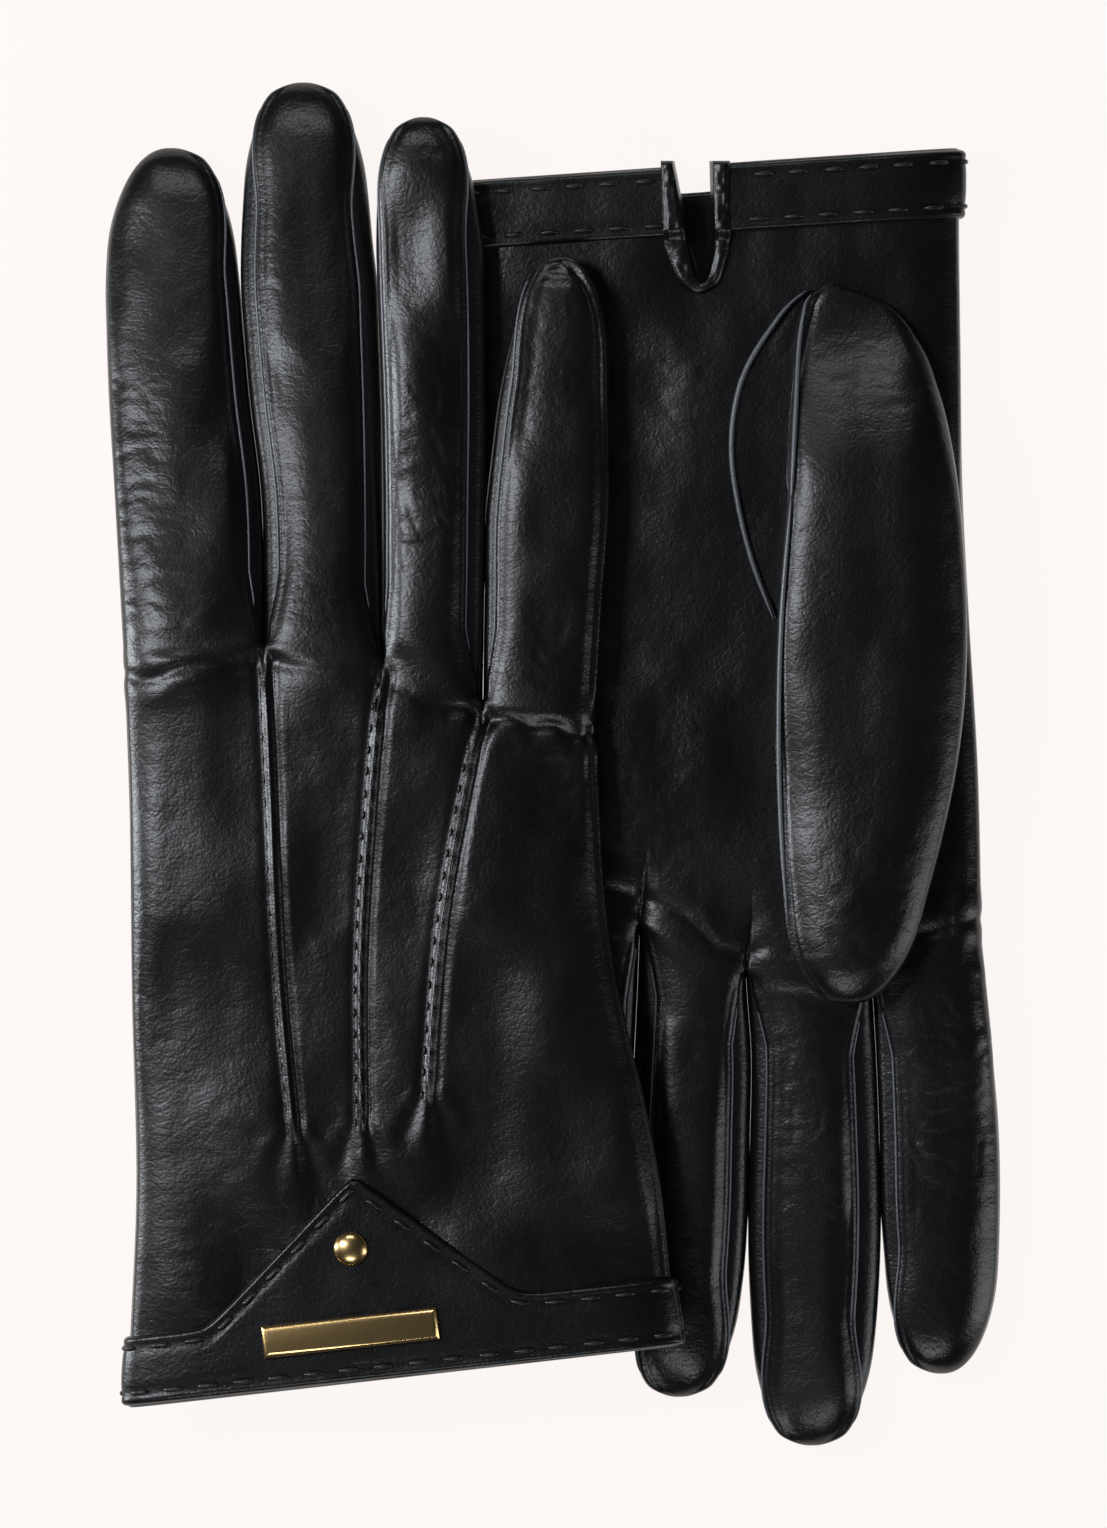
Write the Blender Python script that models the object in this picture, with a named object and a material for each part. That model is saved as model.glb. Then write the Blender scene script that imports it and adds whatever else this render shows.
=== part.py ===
"""A pair of lined leather dress gloves, laid flat as a pair.

The left glove lies palm up on the surface with its fingers towards -Y. The right glove lies palm
down, fingers towards +Y, partly on top of it. Each glove is drawn in its own hand frame, in
millimetres: +Y to the fingertips, +Z out of the back of the hand, and the index finger at -X.
"""

import math

import bmesh
import bpy
from mathutils import Matrix, Vector

MM = 0.001

# Sheet thicknesses and the clearance between neighbours, in millimetres
LEATHER = 1.0
LINING = 0.8
BAND = 1.3
GAP = 0.35

# Half thicknesses of the flattened glove
HAND_HALF = 5.2
FINGER_HALF = 5.0
THUMB_HALF = 5.0
BAND_HALF = HAND_HALF + GAP + BAND
THREAD = 0.35          # radius of a row of thread

# How square the flattened sections are: 2 is an ellipse
HAND_POWER = 4.0
FINGER_POWER = 2.6
TIP_POWER = 2.3

SEAM = 0.84            # where the finger leather ends and the fourchette begins, as a share of the width
SEAM_CLEAR = 0.6       # how far the fourchette's edges stay under the leathers
BULGE = 0.13           # how far the fourchette bows out, as a share of the width
SOCK_SIDE = 3.0        # how far a finger's lining stays from its sides and its tip
SOCK_TIP = 2.6
CUFF_HEIGHT = 12.8     # the band round the wrist
VENT_X = -26.0         # the slit on the palm side, a cut that narrows upwards
VENT_DEPTH = 25.0
VENT_MOUTH = 6.4
VENT_TOP = 2.9
SIDE_GAP = 0.55        # how far the back and palm stay from the middle plane at their side seams
THUMB_HOLE = (-70.0, -52.0, -84.0, -62.0)   # x and y limits of the opening between palm and thumb

# The pointed tab on the band: x, and rise above the band's top edge
TAB = ((-63.5, 0.0), (-37.8, 25.3), (-8.5, 0.0))
STITCH_INSET = 2.4     # from the band's edges to its rows of stitches

# The points, the three raised lines of the back: which gap between fingers each starts from, and
# the x and y of its lower end
POINTS = ((0, -48.0, -70.0), (1, -36.0, -69.0), (2, -21.8, -64.0))

# The plain gilt bar and stud on the tab: sizes, and heights above the cuff's edge
BAR = (33.0, 6.0, 1.2)
BAR_RISE = 9.3
STUD_RADIUS = 3.2
STUD_HEIGHT = 1.1
STUD_RISE = 25.0

# The middle of the laid pair, which becomes the origin
CENTRE_X = 0.23

# The back of each finger of the right glove can fold up by this angle
BEND_DEG = 50.0

WRIST_X = (-79.3, 23.6)
INDEX_SIDE = [(-120.0, -79.0), (-82.0, -78.2), (-7.0, -79.3), (24.0, -80.0), (40.0, -80.6)]
LITTLE_SIDE = [
    (-120.0, 23.6), (-98.0, 22.4), (-74.0, 19.2), (-48.0, 13.5), (-22.0, 9.8), (10.0, 8.6), (40.0, 8.6),
]

# Each finger: centre of its root, its tip, half widths at root and middle, drop of the tip towards
# the table, and the side on which it has no fourchette
RIGHT_FINGERS = {
    "index": dict(root=(-67.05, 22.0), tip=(-72.6, 116.5), half=(12.5, 12.6), drop=-15.8, folded=-1),
    "middle": dict(root=(-42.85, 22.0), tip=(-47.4, 129.0), half=(10.8, 12.1), drop=-15.8, folded=0),
    "ring": dict(root=(-22.2, 16.0), tip=(-23.6, 121.5), half=(8.9, 10.4), drop=0.0, folded=0),
    "little": dict(root=(-2.3, 10.5), tip=(2.2, 95.0), half=(10.1, 9.2), drop=0.0, folded=1),
}
LEFT_FINGERS = {
    "index": dict(root=(-70.6, 36.0), tip=(-73.7, 115.5), half=(10.2, 11.6), drop=3.35, folded=-1),
    "middle": dict(root=(-47.9, 38.0), tip=(-49.0, 129.0), half=(11.2, 12.2), drop=3.35, folded=0),
    "ring": dict(root=(-26.4, 36.0), tip=(-24.2, 119.8), half=(9.2, 10.0), drop=3.35, folded=0),
    "little": dict(root=(-7.0, 28.0), tip=(-2.0, 92.0), half=(8.9, 8.7), drop=3.35, folded=1),
}
# Where one finger's share of the knuckle edge ends and the next begins
RIGHT_SPLITS = (-54.1, -31.6, -12.8)
LEFT_SPLITS = (-59.8, -36.2, -16.6)

# Each glove: height of its middle plane, whether its back faces up, and its thumb
GLOVES = {
    "left": dict(
        height=8.4, back_up=False, fingers=LEFT_FINGERS, splits=LEFT_SPLITS, bend_deg=0.0,
        wrist=(-116.0, -109.5), thumb_z=-10.8, thumb_tip=(-60.6, 45.0),
    ),
    "right": dict(
        height=20.85, back_up=True, fingers=RIGHT_FINGERS, splits=RIGHT_SPLITS, bend_deg=BEND_DEG,
        wrist=(-120.5, -109.0), thumb_z=-15.8, thumb_tip=(-60.6, 45.0),
    ),
}
THUMB_ROOT = (-60.6, -50.0)
THUMB_HALF_WIDTH = (17.2, 17.6)
HOOD_END = -91.0       # the thumb's hood over the palm runs from here to the thumb's root
GUSSET_ENDS = (-88.0, -31.0)
GUSSET_WIDTH = (1.2, 9.7)    # at its ends and in the middle

COLOURS = {
    "leather": ((0.012, 0.012, 0.013), 0.38, 0.0),
    "lining": ((0.02, 0.02, 0.022), 0.85, 0.0),
    "thread": ((0.02, 0.02, 0.02), 0.5, 0.0),
    "gold": ((0.83, 0.62, 0.30), 0.25, 1.0),
}


def material(name):
    """The Principled material of that name, made once."""
    if name in bpy.data.materials:
        return bpy.data.materials[name]
    made = bpy.data.materials.new(name)
    made.use_nodes = True
    colour, roughness, metallic = COLOURS[name]
    shader = made.node_tree.nodes["Principled BSDF"]
    shader.inputs["Base Color"].default_value = (*colour, 1.0)
    shader.inputs["Roughness"].default_value = roughness
    shader.inputs["Metallic"].default_value = metallic
    return made


def placed(glove, point):
    """A hand-frame point in millimetres as a world point in metres."""
    x, y, z = point
    if glove["back_up"]:
        return Vector((x - CENTRE_X, y, z + glove["height"])) * MM
    return Vector((-x - CENTRE_X, -y, glove["height"] - z)) * MM


def smooth(t):
    t = min(1.0, max(0.0, t))
    return t * t * (3 - 2 * t)


def read_off(table, y):
    """Linear interpolation in a list of (y, value)."""
    for (y0, v0), (y1, v1) in zip(table, table[1:]):
        if y <= y1:
            share = max(0.0, (y - y0) / (y1 - y0))
            return v0 + (v1 - v0) * share
    return table[-1][1]


def finish_object(name, mesh, kind, thickness=0.0, offset=-1.0):
    """Links the mesh as an object with its material, and thickens it if it is a sheet."""
    made = bpy.data.objects.new(name, mesh)
    bpy.context.scene.collection.objects.link(made)
    mesh.materials.append(material(kind))
    if thickness:
        solid = made.modifiers.new("Thickness", "SOLIDIFY")
        solid.thickness = thickness * MM
        solid.offset = offset
        solid.use_even_offset = False
    mesh.shade_smooth()
    mesh.set_sharp_from_angle(angle=math.radians(40))
    return made


def sheet_object(name, glove, grids, kind, thickness, outside, skips=((), ())):
    """One sheet from grids of hand-frame points, welded where they meet, less the faces in skips.

    outside gives the outward direction at a face's centre. The points are on the outer surface, and
    the thickness grows inwards from there.
    """
    bm = bmesh.new()
    for rows, skip in zip(grids, skips):
        verts = [[bm.verts.new(Vector(p)) for p in row] for row in rows]
        for i in range(len(rows) - 1):
            for j in range(len(rows[0]) - 1):
                if (i, j) not in skip:
                    bm.faces.new((verts[i][j], verts[i][j + 1], verts[i + 1][j + 1], verts[i + 1][j]))
    bmesh.ops.remove_doubles(bm, verts=bm.verts, dist=0.01)
    bmesh.ops.dissolve_degenerate(bm, edges=bm.edges, dist=0.01)
    bmesh.ops.recalc_face_normals(bm, faces=bm.faces)
    agreement = sum(
        f.normal.dot(Vector(outside(f.calc_center_median()))) * f.calc_area() for f in bm.faces
    )
    if agreement < 0:
        bmesh.ops.reverse_faces(bm, faces=bm.faces)
    for vert in bm.verts:
        vert.co = placed(glove, vert.co)
    mesh = bpy.data.meshes.new(name)
    # Turning the hand over mirrors the points, so the faces turn round with them
    if not glove["back_up"]:
        bmesh.ops.reverse_faces(bm, faces=bm.faces)
    bm.to_mesh(mesh)
    bm.free()
    return finish_object(name, mesh, kind, thickness)


# ---- the hand ----

def hand_section(y, x, inset):
    """Half thickness of the flattened hand at (x, y), taken in by inset."""
    left, right = read_off(INDEX_SIDE, y) + inset, read_off(LITTLE_SIDE, y) - inset
    centre, half = (left + right) / 2, (right - left) / 2
    share = min(1.0, abs(x - centre) / half)
    return (HAND_HALF - inset) * (1 - share ** HAND_POWER) ** (1 / HAND_POWER)


def hand_x(y, share, inset):
    left, right = read_off(INDEX_SIDE, y) + inset, read_off(LITTLE_SIDE, y) - inset
    return (left + right) / 2 + share * (right - left) / 2


def wrist_y(glove, x):
    """The cuff's edge, a straight line across the wrist."""
    y0, y1 = glove["wrist"]
    x0, x1 = WRIST_X
    return y0 + (y1 - y0) * (x - x0) / (x1 - x0)


def knuckle_y(glove, x, z):
    """Where the hand ends and the finger over x begins, with room for the finger to fold back."""
    names = list(glove["fingers"])
    finger = glove["fingers"][names[sum(x > s for s in glove["splits"])]]
    (rx, ry), (tx, ty) = finger["root"], finger["tip"]
    lean = -(tx - rx) / (ty - ry)
    droop = -finger["drop"] / (ty - ry)
    fold = math.tan(math.radians(glove["bend_deg"] / 2)) * max(0.0, z)
    return ry + lean * (x - rx) - GAP / 2 - fold - abs(droop * z)


def vent_y(glove, x, side):
    """The lower edge at x: the cuff line, cut by the slit on the palm side."""
    edge = wrist_y(glove, x)
    if side > 0:
        return edge
    share = (VENT_MOUTH - abs(x - VENT_X)) / (VENT_MOUTH - VENT_TOP)
    return edge + VENT_DEPTH * min(1.0, max(0.0, share))


def share_of(x, y, inset):
    """Where x lies across the hand at y, from -1 at the index side to 1."""
    left, right = hand_x(y, -1, inset), hand_x(y, 1, inset)
    return (2 * x - left - right) / (right - left)


ROUND_SIDE = (0.75, 0.93, 0.985, 1.0)
ENDS = (-110.0, 20.0)    # the columns of the hand run between these heights


def hand_columns(glove, inset):
    """Each column of the hand as its share across at the cuff and its share at the knuckles."""
    columns = [(-1, -1), (-0.985, -0.985), (-0.93, -0.93), *((c, c) for c in ROUND_SIDE)]
    first, second, third = glove["splits"]
    x0, x1 = THUMB_HOLE[:2]
    lines = [
        (x0, x0), ((x0 + x1) / 2, (x0 + x1) / 2), (x1, first - 0.5), (x1 + 7, first + 0.5),
        (VENT_X - VENT_MOUTH, second - 0.5), (VENT_X - VENT_TOP, second + 0.5),
        (VENT_X + VENT_TOP, third - 0.5), (VENT_X + VENT_MOUTH, third + 0.5),
    ]
    low, high = ENDS
    columns += [(share_of(a, low, inset), share_of(b, high, inset)) for a, b in lines]
    return sorted(columns)


def column_share(column, y):
    low, high = ENDS
    t = min(1.0, max(0.0, (y - low) / (high - low)))
    return column[0] + (column[1] - column[0]) * t


def hand_sheet(glove, side, inset, columns):
    """Rows of points of the back (side 1) or palm (side -1), each set in from the outer surface."""
    grid = []
    for i in range(8):
        row = []
        for column in columns:
            x_low = hand_x(ENDS[0], column[0], inset)
            x_high = hand_x(ENDS[1], column[1], inset)
            flat = abs(column[1]) < 1
            z_high = hand_section(ENDS[1], x_high, inset) if flat else 0.0
            low, high = vent_y(glove, x_low, side), knuckle_y(glove, x_high, side * z_high)
            hole_low, hole_high = THUMB_HOLE[2:]
            levels = [low, (low + hole_low) / 2, hole_low, hole_high]
            levels += [hole_high + (high - hole_high) * t for t in (0.35, 0.7, 0.9, 1.0)]
            y = levels[i]
            x = hand_x(y, column_share(column, y), inset)
            row.append((x, y, side * max(hand_section(y, x, inset), SIDE_GAP)))
        grid.append(row)
    return grid


def hole_faces(columns, inset):
    """The faces that the thumb hole removes, as (row, column)."""
    lows = [hand_x(ENDS[0], column[0], inset) for column in columns]
    middles = [(a + b) / 2 for a, b in zip(lows, lows[1:])]
    return [(2, j) for j, x in enumerate(middles) if THUMB_HOLE[0] < x < THUMB_HOLE[1]]


def make_hand(name, glove):
    for part, side in (("back", 1), ("palm", -1)):
        columns = hand_columns(glove, 0.0)
        hole = hole_faces(columns, 0.0) if side < 0 else ()
        grid = hand_sheet(glove, side, 0.0, columns)
        sheet_object(
            f"{name}_hand_{part}", glove, [grid], "leather", LEATHER, lambda c, s=side: (0, 0, s), [hole]
        )
    inset = LEATHER + GAP
    columns = hand_columns(glove, inset)
    back = hand_sheet(glove, 1, inset, columns)
    palm = hand_sheet(glove, -1, inset, columns)
    # The lining is one sleeve, so its two faces share their side edges
    for row_back, row_palm in zip(back, palm):
        for j in (0, -1):
            row_back[j] = row_palm[j] = (*row_palm[j][:2], 0.0)
    hole = hole_faces(columns, inset)
    sheet_object(
        f"{name}_hand_lining", glove, [back, palm], "lining", LINING, lambda c: (0, 0, c.z), [(), hole]
    )


# ---- fingers and thumb ----

class Tube:
    """A flattened finger: a centre line from root to tip, a width along it and a rounded tip."""

    def __init__(self, root, tip, half, thick, fold_deg=0.0):
        self.root, self.tip = Vector(root), Vector(tip)
        self.along = (self.tip - self.root).normalized()
        self.across = Vector((self.along.y, -self.along.x, 0)).normalized()
        self.up = self.across.cross(self.along)
        self.length = (self.tip - self.root).length
        self.half, self.thick = half, thick
        self.fold = math.tan(math.radians(fold_deg / 2))

    def width(self, s):
        a, b = self.half
        return a + (b - a) * smooth(s / (0.5 * self.length))

    def point(self, q, v, side, inset_w=0.0, inset_h=0.0, inset_tip=0.0):
        """Share q of the half width, share v of the way from root to tip, on the upper or lower face."""
        length = self.length - inset_tip
        cap = 1.15 * self.half[1] - inset_tip
        end = (length - cap) + cap * (1 - abs(q) ** TIP_POWER) ** (1 / TIP_POWER)
        half = self.thick - inset_h
        level = half * (1 - abs(q) ** FINGER_POWER) ** (1 / FINGER_POWER)
        start = GAP / 2 + self.fold * max(0.0, side * level)
        s = start + (end - start) * v
        turn = min(1.6 * half, 0.2 * length)
        near = max(0.0, (s - (end - turn)) / turn)
        z = side * level * math.sqrt(max(0.0, 1 - near * near))
        a = q * (self.width(s) - inset_w)
        return self.root + self.along * s + self.across * a + self.up * z

    def faces(self, shares, steps, **inset):
        """The upper and lower grids."""
        return [[[self.point(q, v, side, **inset) for q in shares] for v in steps] for side in (1, -1)]

    def outward(self, centre):
        return (centre - self.root).dot(self.up) * self.up + 0.05 * (centre - self.root)


# Shares of the way from root to tip at which a finger's sections lie
STEPS = (0.0, 0.22, 0.45, 0.68, 0.85, 0.925, 0.965, 0.99, 1.0)
SOCK_STEPS = (*STEPS[:-3], 0.98, 1.0)


def make_finger(name, glove, key):
    """The leather, folded round one side or open at both, its lining and its fourchettes."""
    finger = glove["fingers"][key]
    root, tip = (*finger["root"], 0.0), (*finger["tip"], finger["drop"])
    tube = Tube(root, tip, finger["half"], FINGER_HALF, glove["bend_deg"])
    folded = finger["folded"]
    inner = (-SEAM, -0.5, 0.0, 0.5, SEAM)
    shares = {0: inner, -1: (-1, -0.95, *inner[1:]), 1: (*inner[:-1], 0.95, 1)}[folded]
    base = f"{name}_{key}"
    sheet_object(f"{base}_leather", glove, tube.faces(shares, STEPS), "leather", LEATHER, tube.outward)
    shares = (-1, -0.93, -0.5, 0, 0.5, 0.93, 1)
    sock = tube.faces(shares, SOCK_STEPS, inset_w=SOCK_SIDE, inset_h=LEATHER + GAP, inset_tip=SOCK_TIP)
    sheet_object(f"{base}_lining", glove, sock, "lining", LINING, tube.outward)
    order = list(glove["fingers"])
    for side in (-1, 1):
        if side != folded:
            neighbour = order[order.index(key) + side]
            make_fourchette(f"{base}_fourchette_{neighbour}_side", glove, tube, side)


def make_fourchette(name, glove, tube, side):
    """The strip that joins the two leathers of a finger along one side."""
    rows = []
    for v in (0.0, 0.25, 0.5, 0.75, 0.92):
        top, bottom = tube.point(side * SEAM, v, 1), tube.point(side * SEAM, v, -1)
        s = (top - tube.root).dot(tube.along)
        reach = (top - bottom).dot(tube.up) / 2 - LEATHER - SEAM_CLEAR
        row = []
        for r in (-1, 0, 1):
            start = GAP / 2 + tube.fold * max(0.0, r * reach)
            along = max(s, start) if v else start
            a = side * tube.width(s) * (SEAM + BULGE * (1 - r * r))
            row.append(tube.root + tube.along * along + tube.across * a + tube.up * (r * reach))
        rows.append(row)
    sheet_object(name, glove, [rows], "leather", LINING, lambda c: tube.across * side)


def make_thumb(name, glove):
    """The thumb leather and lining, the hood that joins it to the palm, and the flat gusset beside it."""
    z = glove["thumb_z"]
    tube = Tube((*THUMB_ROOT, z), (*glove["thumb_tip"], z), THUMB_HALF_WIDTH, THUMB_HALF)
    shares = (-1, -0.95, -0.5, 0, 0.5, 0.95, 1)
    sheet_object(f"{name}_thumb_leather", glove, tube.faces(shares, STEPS), "leather", LEATHER, tube.outward)
    inside = LEATHER + GAP
    sock = tube.faces(shares, SOCK_STEPS, inset_w=inside, inset_h=inside, inset_tip=SOCK_TIP)
    sheet_object(f"{name}_thumb_lining", glove, sock, "lining", LINING, tube.outward)
    # The hood is an arch over the thumb hole, closed towards the wrist
    palm = -(HAND_HALF + GAP)
    far = z - THUMB_HALF
    half = THUMB_HALF_WIDTH[0]
    arches = ((0.45, HOOD_END), (0.8, HOOD_END + 4), (1, HOOD_END + 14), (1, THUMB_ROOT[1] - GAP / 2))
    rows = []
    for share, y in arches:
        row = []
        for angle in range(0, 181, 30):
            c, s = math.cos(math.radians(angle)), math.sin(math.radians(angle))
            x = half * math.copysign(abs(c) ** (2 / FINGER_POWER), c) * (0.7 + 0.3 * share)
            row.append((THUMB_ROOT[0] + x, y, palm + (far - palm) * share * s ** (2 / FINGER_POWER)))
        rows.append(row)
    end = [(p[0], p[1], palm + (p[2] - palm) * 0.02) for p in rows[0]]
    sheet_object(f"{name}_thumb_base", glove, [[end, *rows]], "leather", LEATHER, lambda c: (0, 0, -1))
    # The gusset is a leaf of leather flat on the palm, on the thumb's inner side
    x_in = THUMB_ROOT[0] + half + 1.2
    y0, y1 = GUSSET_ENDS
    narrow, wide = GUSSET_WIDTH
    leaf = []
    for i in range(9):
        t = i / 8
        width = narrow + (wide - narrow) * math.sin(math.pi * t) ** 0.8
        y = y0 + (y1 - y0) * t
        leaf.append([(x_in, y, palm), (x_in + width, y, palm)])
    sheet_object(f"{name}_thumb_gusset", glove, [leaf], "leather", LEATHER, lambda c: (0, 0, 1))


# ---- cuff ----

def band_top(x, side):
    """Rise of the band's top edge above the cuff line."""
    on_tab = side > 0 and TAB[0][0] < x < TAB[2][0]
    return CUFF_HEIGHT + (read_off(TAB, x) if on_tab else 0.0)


def band_point(glove, x, y, side, lift):
    """A point lift above the hand's surface at (x, y)."""
    left, right = read_off(INDEX_SIDE, y) - lift, read_off(LITTLE_SIDE, y) + lift
    centre, half = (left + right) / 2, (right - left) / 2
    share = min(1.0, abs(x - centre) / half)
    return (x, y, side * (HAND_HALF + lift) * (1 - share ** HAND_POWER) ** (1 / HAND_POWER))


def make_band(name, glove):
    """The leather band: from one edge of the slit, round the back of the wrist, to the other edge."""
    lift = GAP + BAND
    low_y = wrist_y(glove, VENT_X)
    shares = [column[0] for column in hand_columns(glove, 0.0)]
    gap_from = share_of(VENT_X - VENT_MOUTH - 0.6, low_y, 0.0)
    gap_to = share_of(VENT_X + VENT_MOUTH + 0.6, low_y, 0.0)
    tab = [share_of(x, low_y, 0.0) for x, _ in TAB]
    over = sorted([c for c in shares if abs(c) != 1] + tab, reverse=True)
    columns = [(c, -1) for c in [gap_to] + [c for c in shares if c > gap_to]]
    columns += [(c, 1) for c in over]
    columns += [(c, -1) for c in [c for c in shares if c < gap_from] + [gap_from]]
    rows = []
    for up in (0.0, 0.5, 1.0):
        row = []
        for share, side in columns:
            x_mid = hand_x(low_y, share, 0.0)
            y = wrist_y(glove, x_mid) + up * band_top(x_mid, side)
            row.append(band_point(glove, hand_x(y, share, -lift), y, side, lift))
        rows.append(row)
    sheet_object(f"{name}_cuff_band", glove, [rows], "leather", BAND, lambda c: (0, 0, c.z))


def tube_along(name, glove, points, radius, kind, closed=False):
    """A round cord along hand-frame points."""
    curve = bpy.data.curves.new(name, "CURVE")
    curve.dimensions = "3D"
    curve.bevel_depth = radius * MM
    curve.bevel_resolution = 1
    curve.use_fill_caps = not closed
    spline = curve.splines.new("POLY")
    spline.points.add(len(points) - 1)
    for target, point in zip(spline.points, points):
        target.co = (*placed(glove, point), 1)
    spline.use_cyclic_u = closed
    curve.materials.append(material(kind))
    made = bpy.data.objects.new(name, curve)
    bpy.context.scene.collection.objects.link(made)
    return made


def make_vent(name, glove):
    """The rolled binding round the slit."""
    radius = 1.0
    side_step = radius + GAP + 0.15
    edge = wrist_y(glove, VENT_X)
    z = -(HAND_HALF - LEATHER / 2)
    path = []
    for share in (0.0, 0.5, 0.9):
        half = VENT_MOUTH + (VENT_TOP - VENT_MOUTH) * share - side_step
        path.append((half, edge + (VENT_DEPTH - 2 * side_step) * share))
    path.append((0.6, edge + VENT_DEPTH - side_step))
    points = [(VENT_X - off, y, z) for off, y in path]
    points += [(VENT_X + off, y, z) for off, y in reversed(path)]
    tube_along(f"{name}_vent_binding", glove, points, radius, "leather")


def make_threads(name, glove):
    """The running stitch of the band, one loop of thread, and the three rows of the points."""
    lift = GAP + BAND + GAP + THREAD
    upper = [-72.0, TAB[0][0], -50.0, TAB[1][0], -24.0, TAB[2][0], 2.0, 15.0]
    path = []
    for x in upper:
        y = wrist_y(glove, x) + band_top(x, 1) - STITCH_INSET - (2.0 if x == TAB[1][0] else 0.0)
        path.append(band_point(glove, x, y, 1, lift))
    for x in reversed(upper):
        path.append(band_point(glove, x, wrist_y(glove, x) + STITCH_INSET, 1, lift))
    tube_along(f"{name}_band_stitch", glove, path, THREAD, "thread", closed=True)
    for between, start, low in POINTS:
        first = glove["splits"][between]
        top = min(knuckle_y(glove, first - 1, HAND_HALF), knuckle_y(glove, first + 1, HAND_HALF)) - 2.0
        line = []
        for i in range(5):
            t = i / 4
            x = first + (start - first) * t
            y = top + (low - top) * t
            line.append(band_point(glove, x, y, 1, GAP + THREAD))
        tube_along(f"{name}_point_stitch_{between + 1}", glove, line, THREAD, "thread")


# ---- the gilt ----

def make_badge(name, glove):
    x, low = TAB[1][0], wrist_y(glove, TAB[1][0])
    for part in ("bar", "stud"):
        bm = bmesh.new()
        if part == "bar":
            rise, height = BAR_RISE, BAR[2]
            bmesh.ops.create_cube(bm, size=1.0)
            bmesh.ops.scale(bm, vec=BAR, verts=bm.verts)
            slope = math.atan2(glove["wrist"][1] - glove["wrist"][0], WRIST_X[1] - WRIST_X[0])
            bmesh.ops.rotate(bm, verts=bm.verts, matrix=Matrix.Rotation(slope, 3, "Z"))
        else:
            rise, height = STUD_RISE, STUD_HEIGHT
            bmesh.ops.create_cone(
                bm, cap_ends=True, segments=16, radius1=STUD_RADIUS, radius2=STUD_RADIUS - 0.5, depth=height
            )
        for vert in bm.verts:
            vert.co = placed(glove, vert.co + Vector((x, low + rise, BAND_HALF + GAP + height / 2)))
        bmesh.ops.recalc_face_normals(bm, faces=bm.faces)
        mesh = bpy.data.meshes.new(f"{name}_badge_{part}")
        bm.to_mesh(mesh)
        bm.free()
        finish_object(f"{name}_badge_{part}", mesh, "gold")


# ---- what turns and slides ----

def hang(child, parent):
    """Parents a child where it is. Nothing here is rotated, so only the parent's place is taken off."""
    child.parent = parent
    child.matrix_parent_inverse = Matrix.Translation(-parent.location)


def pivot(name, place, parent):
    """An empty at a world point, which carries the pieces that move about it."""
    made = bpy.data.objects.new(name, None)
    made.empty_display_size = 10 * MM
    made.location = place
    bpy.context.scene.collection.objects.link(made)
    if parent:
        hang(made, parent)
    return made


def hinge_point(glove, key):
    """A point on the axis that a finger or the thumb turns about."""
    if key == "thumb":
        x, y = THUMB_ROOT
        if glove["back_up"]:
            return x - THUMB_HALF_WIDTH[0], y, glove["thumb_z"]
        return x, y, glove["thumb_z"] - THUMB_HALF
    finger = glove["fingers"][key]
    x, y = finger["root"]
    if glove["back_up"]:
        return x, y, 0.0
    # The left glove's fingers spread flat, each about its root's outer corner
    outer = -1 if key in ("index", "middle") else 1
    return x + outer * finger["half"][0], y, 0.0


def rig_glove(name, glove, under):
    """Hangs each piece of a glove from the empty that it moves with, and returns the glove's own empty."""
    pieces = [piece for piece in bpy.data.objects if piece.name.startswith(f"{name}_") and piece.data]
    whole = pivot(f"{name}_glove", placed(glove, (VENT_X, wrist_y(glove, VENT_X), 0.0)), under)
    carriers = {}
    for key in (*glove["fingers"], "thumb"):
        carriers[key] = pivot(f"{name}_{key}_hinge", placed(glove, hinge_point(glove, key)), whole)
    fixed = (f"{name}_thumb_base", f"{name}_thumb_gusset")
    for piece in pieces:
        key = piece.name.split("_")[1]
        moves = key in carriers and piece.name not in fixed
        hang(piece, carriers[key] if moves else whole)
    return whole


def make_glove(name, under):
    """All the pieces of one glove, which moves with the empty under it if there is one."""
    glove = GLOVES[name]
    make_hand(name, glove)
    for key in glove["fingers"]:
        make_finger(name, glove, key)
    make_thumb(name, glove)
    make_band(name, glove)
    make_vent(name, glove)
    make_threads(name, glove)
    make_badge(name, glove)
    return rig_glove(name, glove, under)


for old in list(bpy.data.objects):
    bpy.data.objects.remove(old)
lower_glove = make_glove("left", None)
make_glove("right", lower_glove)
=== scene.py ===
"""The looks of a pair of lined black leather dress gloves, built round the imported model.

Each glove's skins are grids of points worked out in the glove's own hand frame, in millimetres: x
from the index side to the little finger, y from the cuff to the fingertips and z out of the back of
the hand. place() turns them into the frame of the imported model, in metres.
"""
import math

import bmesh
import bpy
import numpy as np
from mathutils import Matrix, Vector


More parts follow.
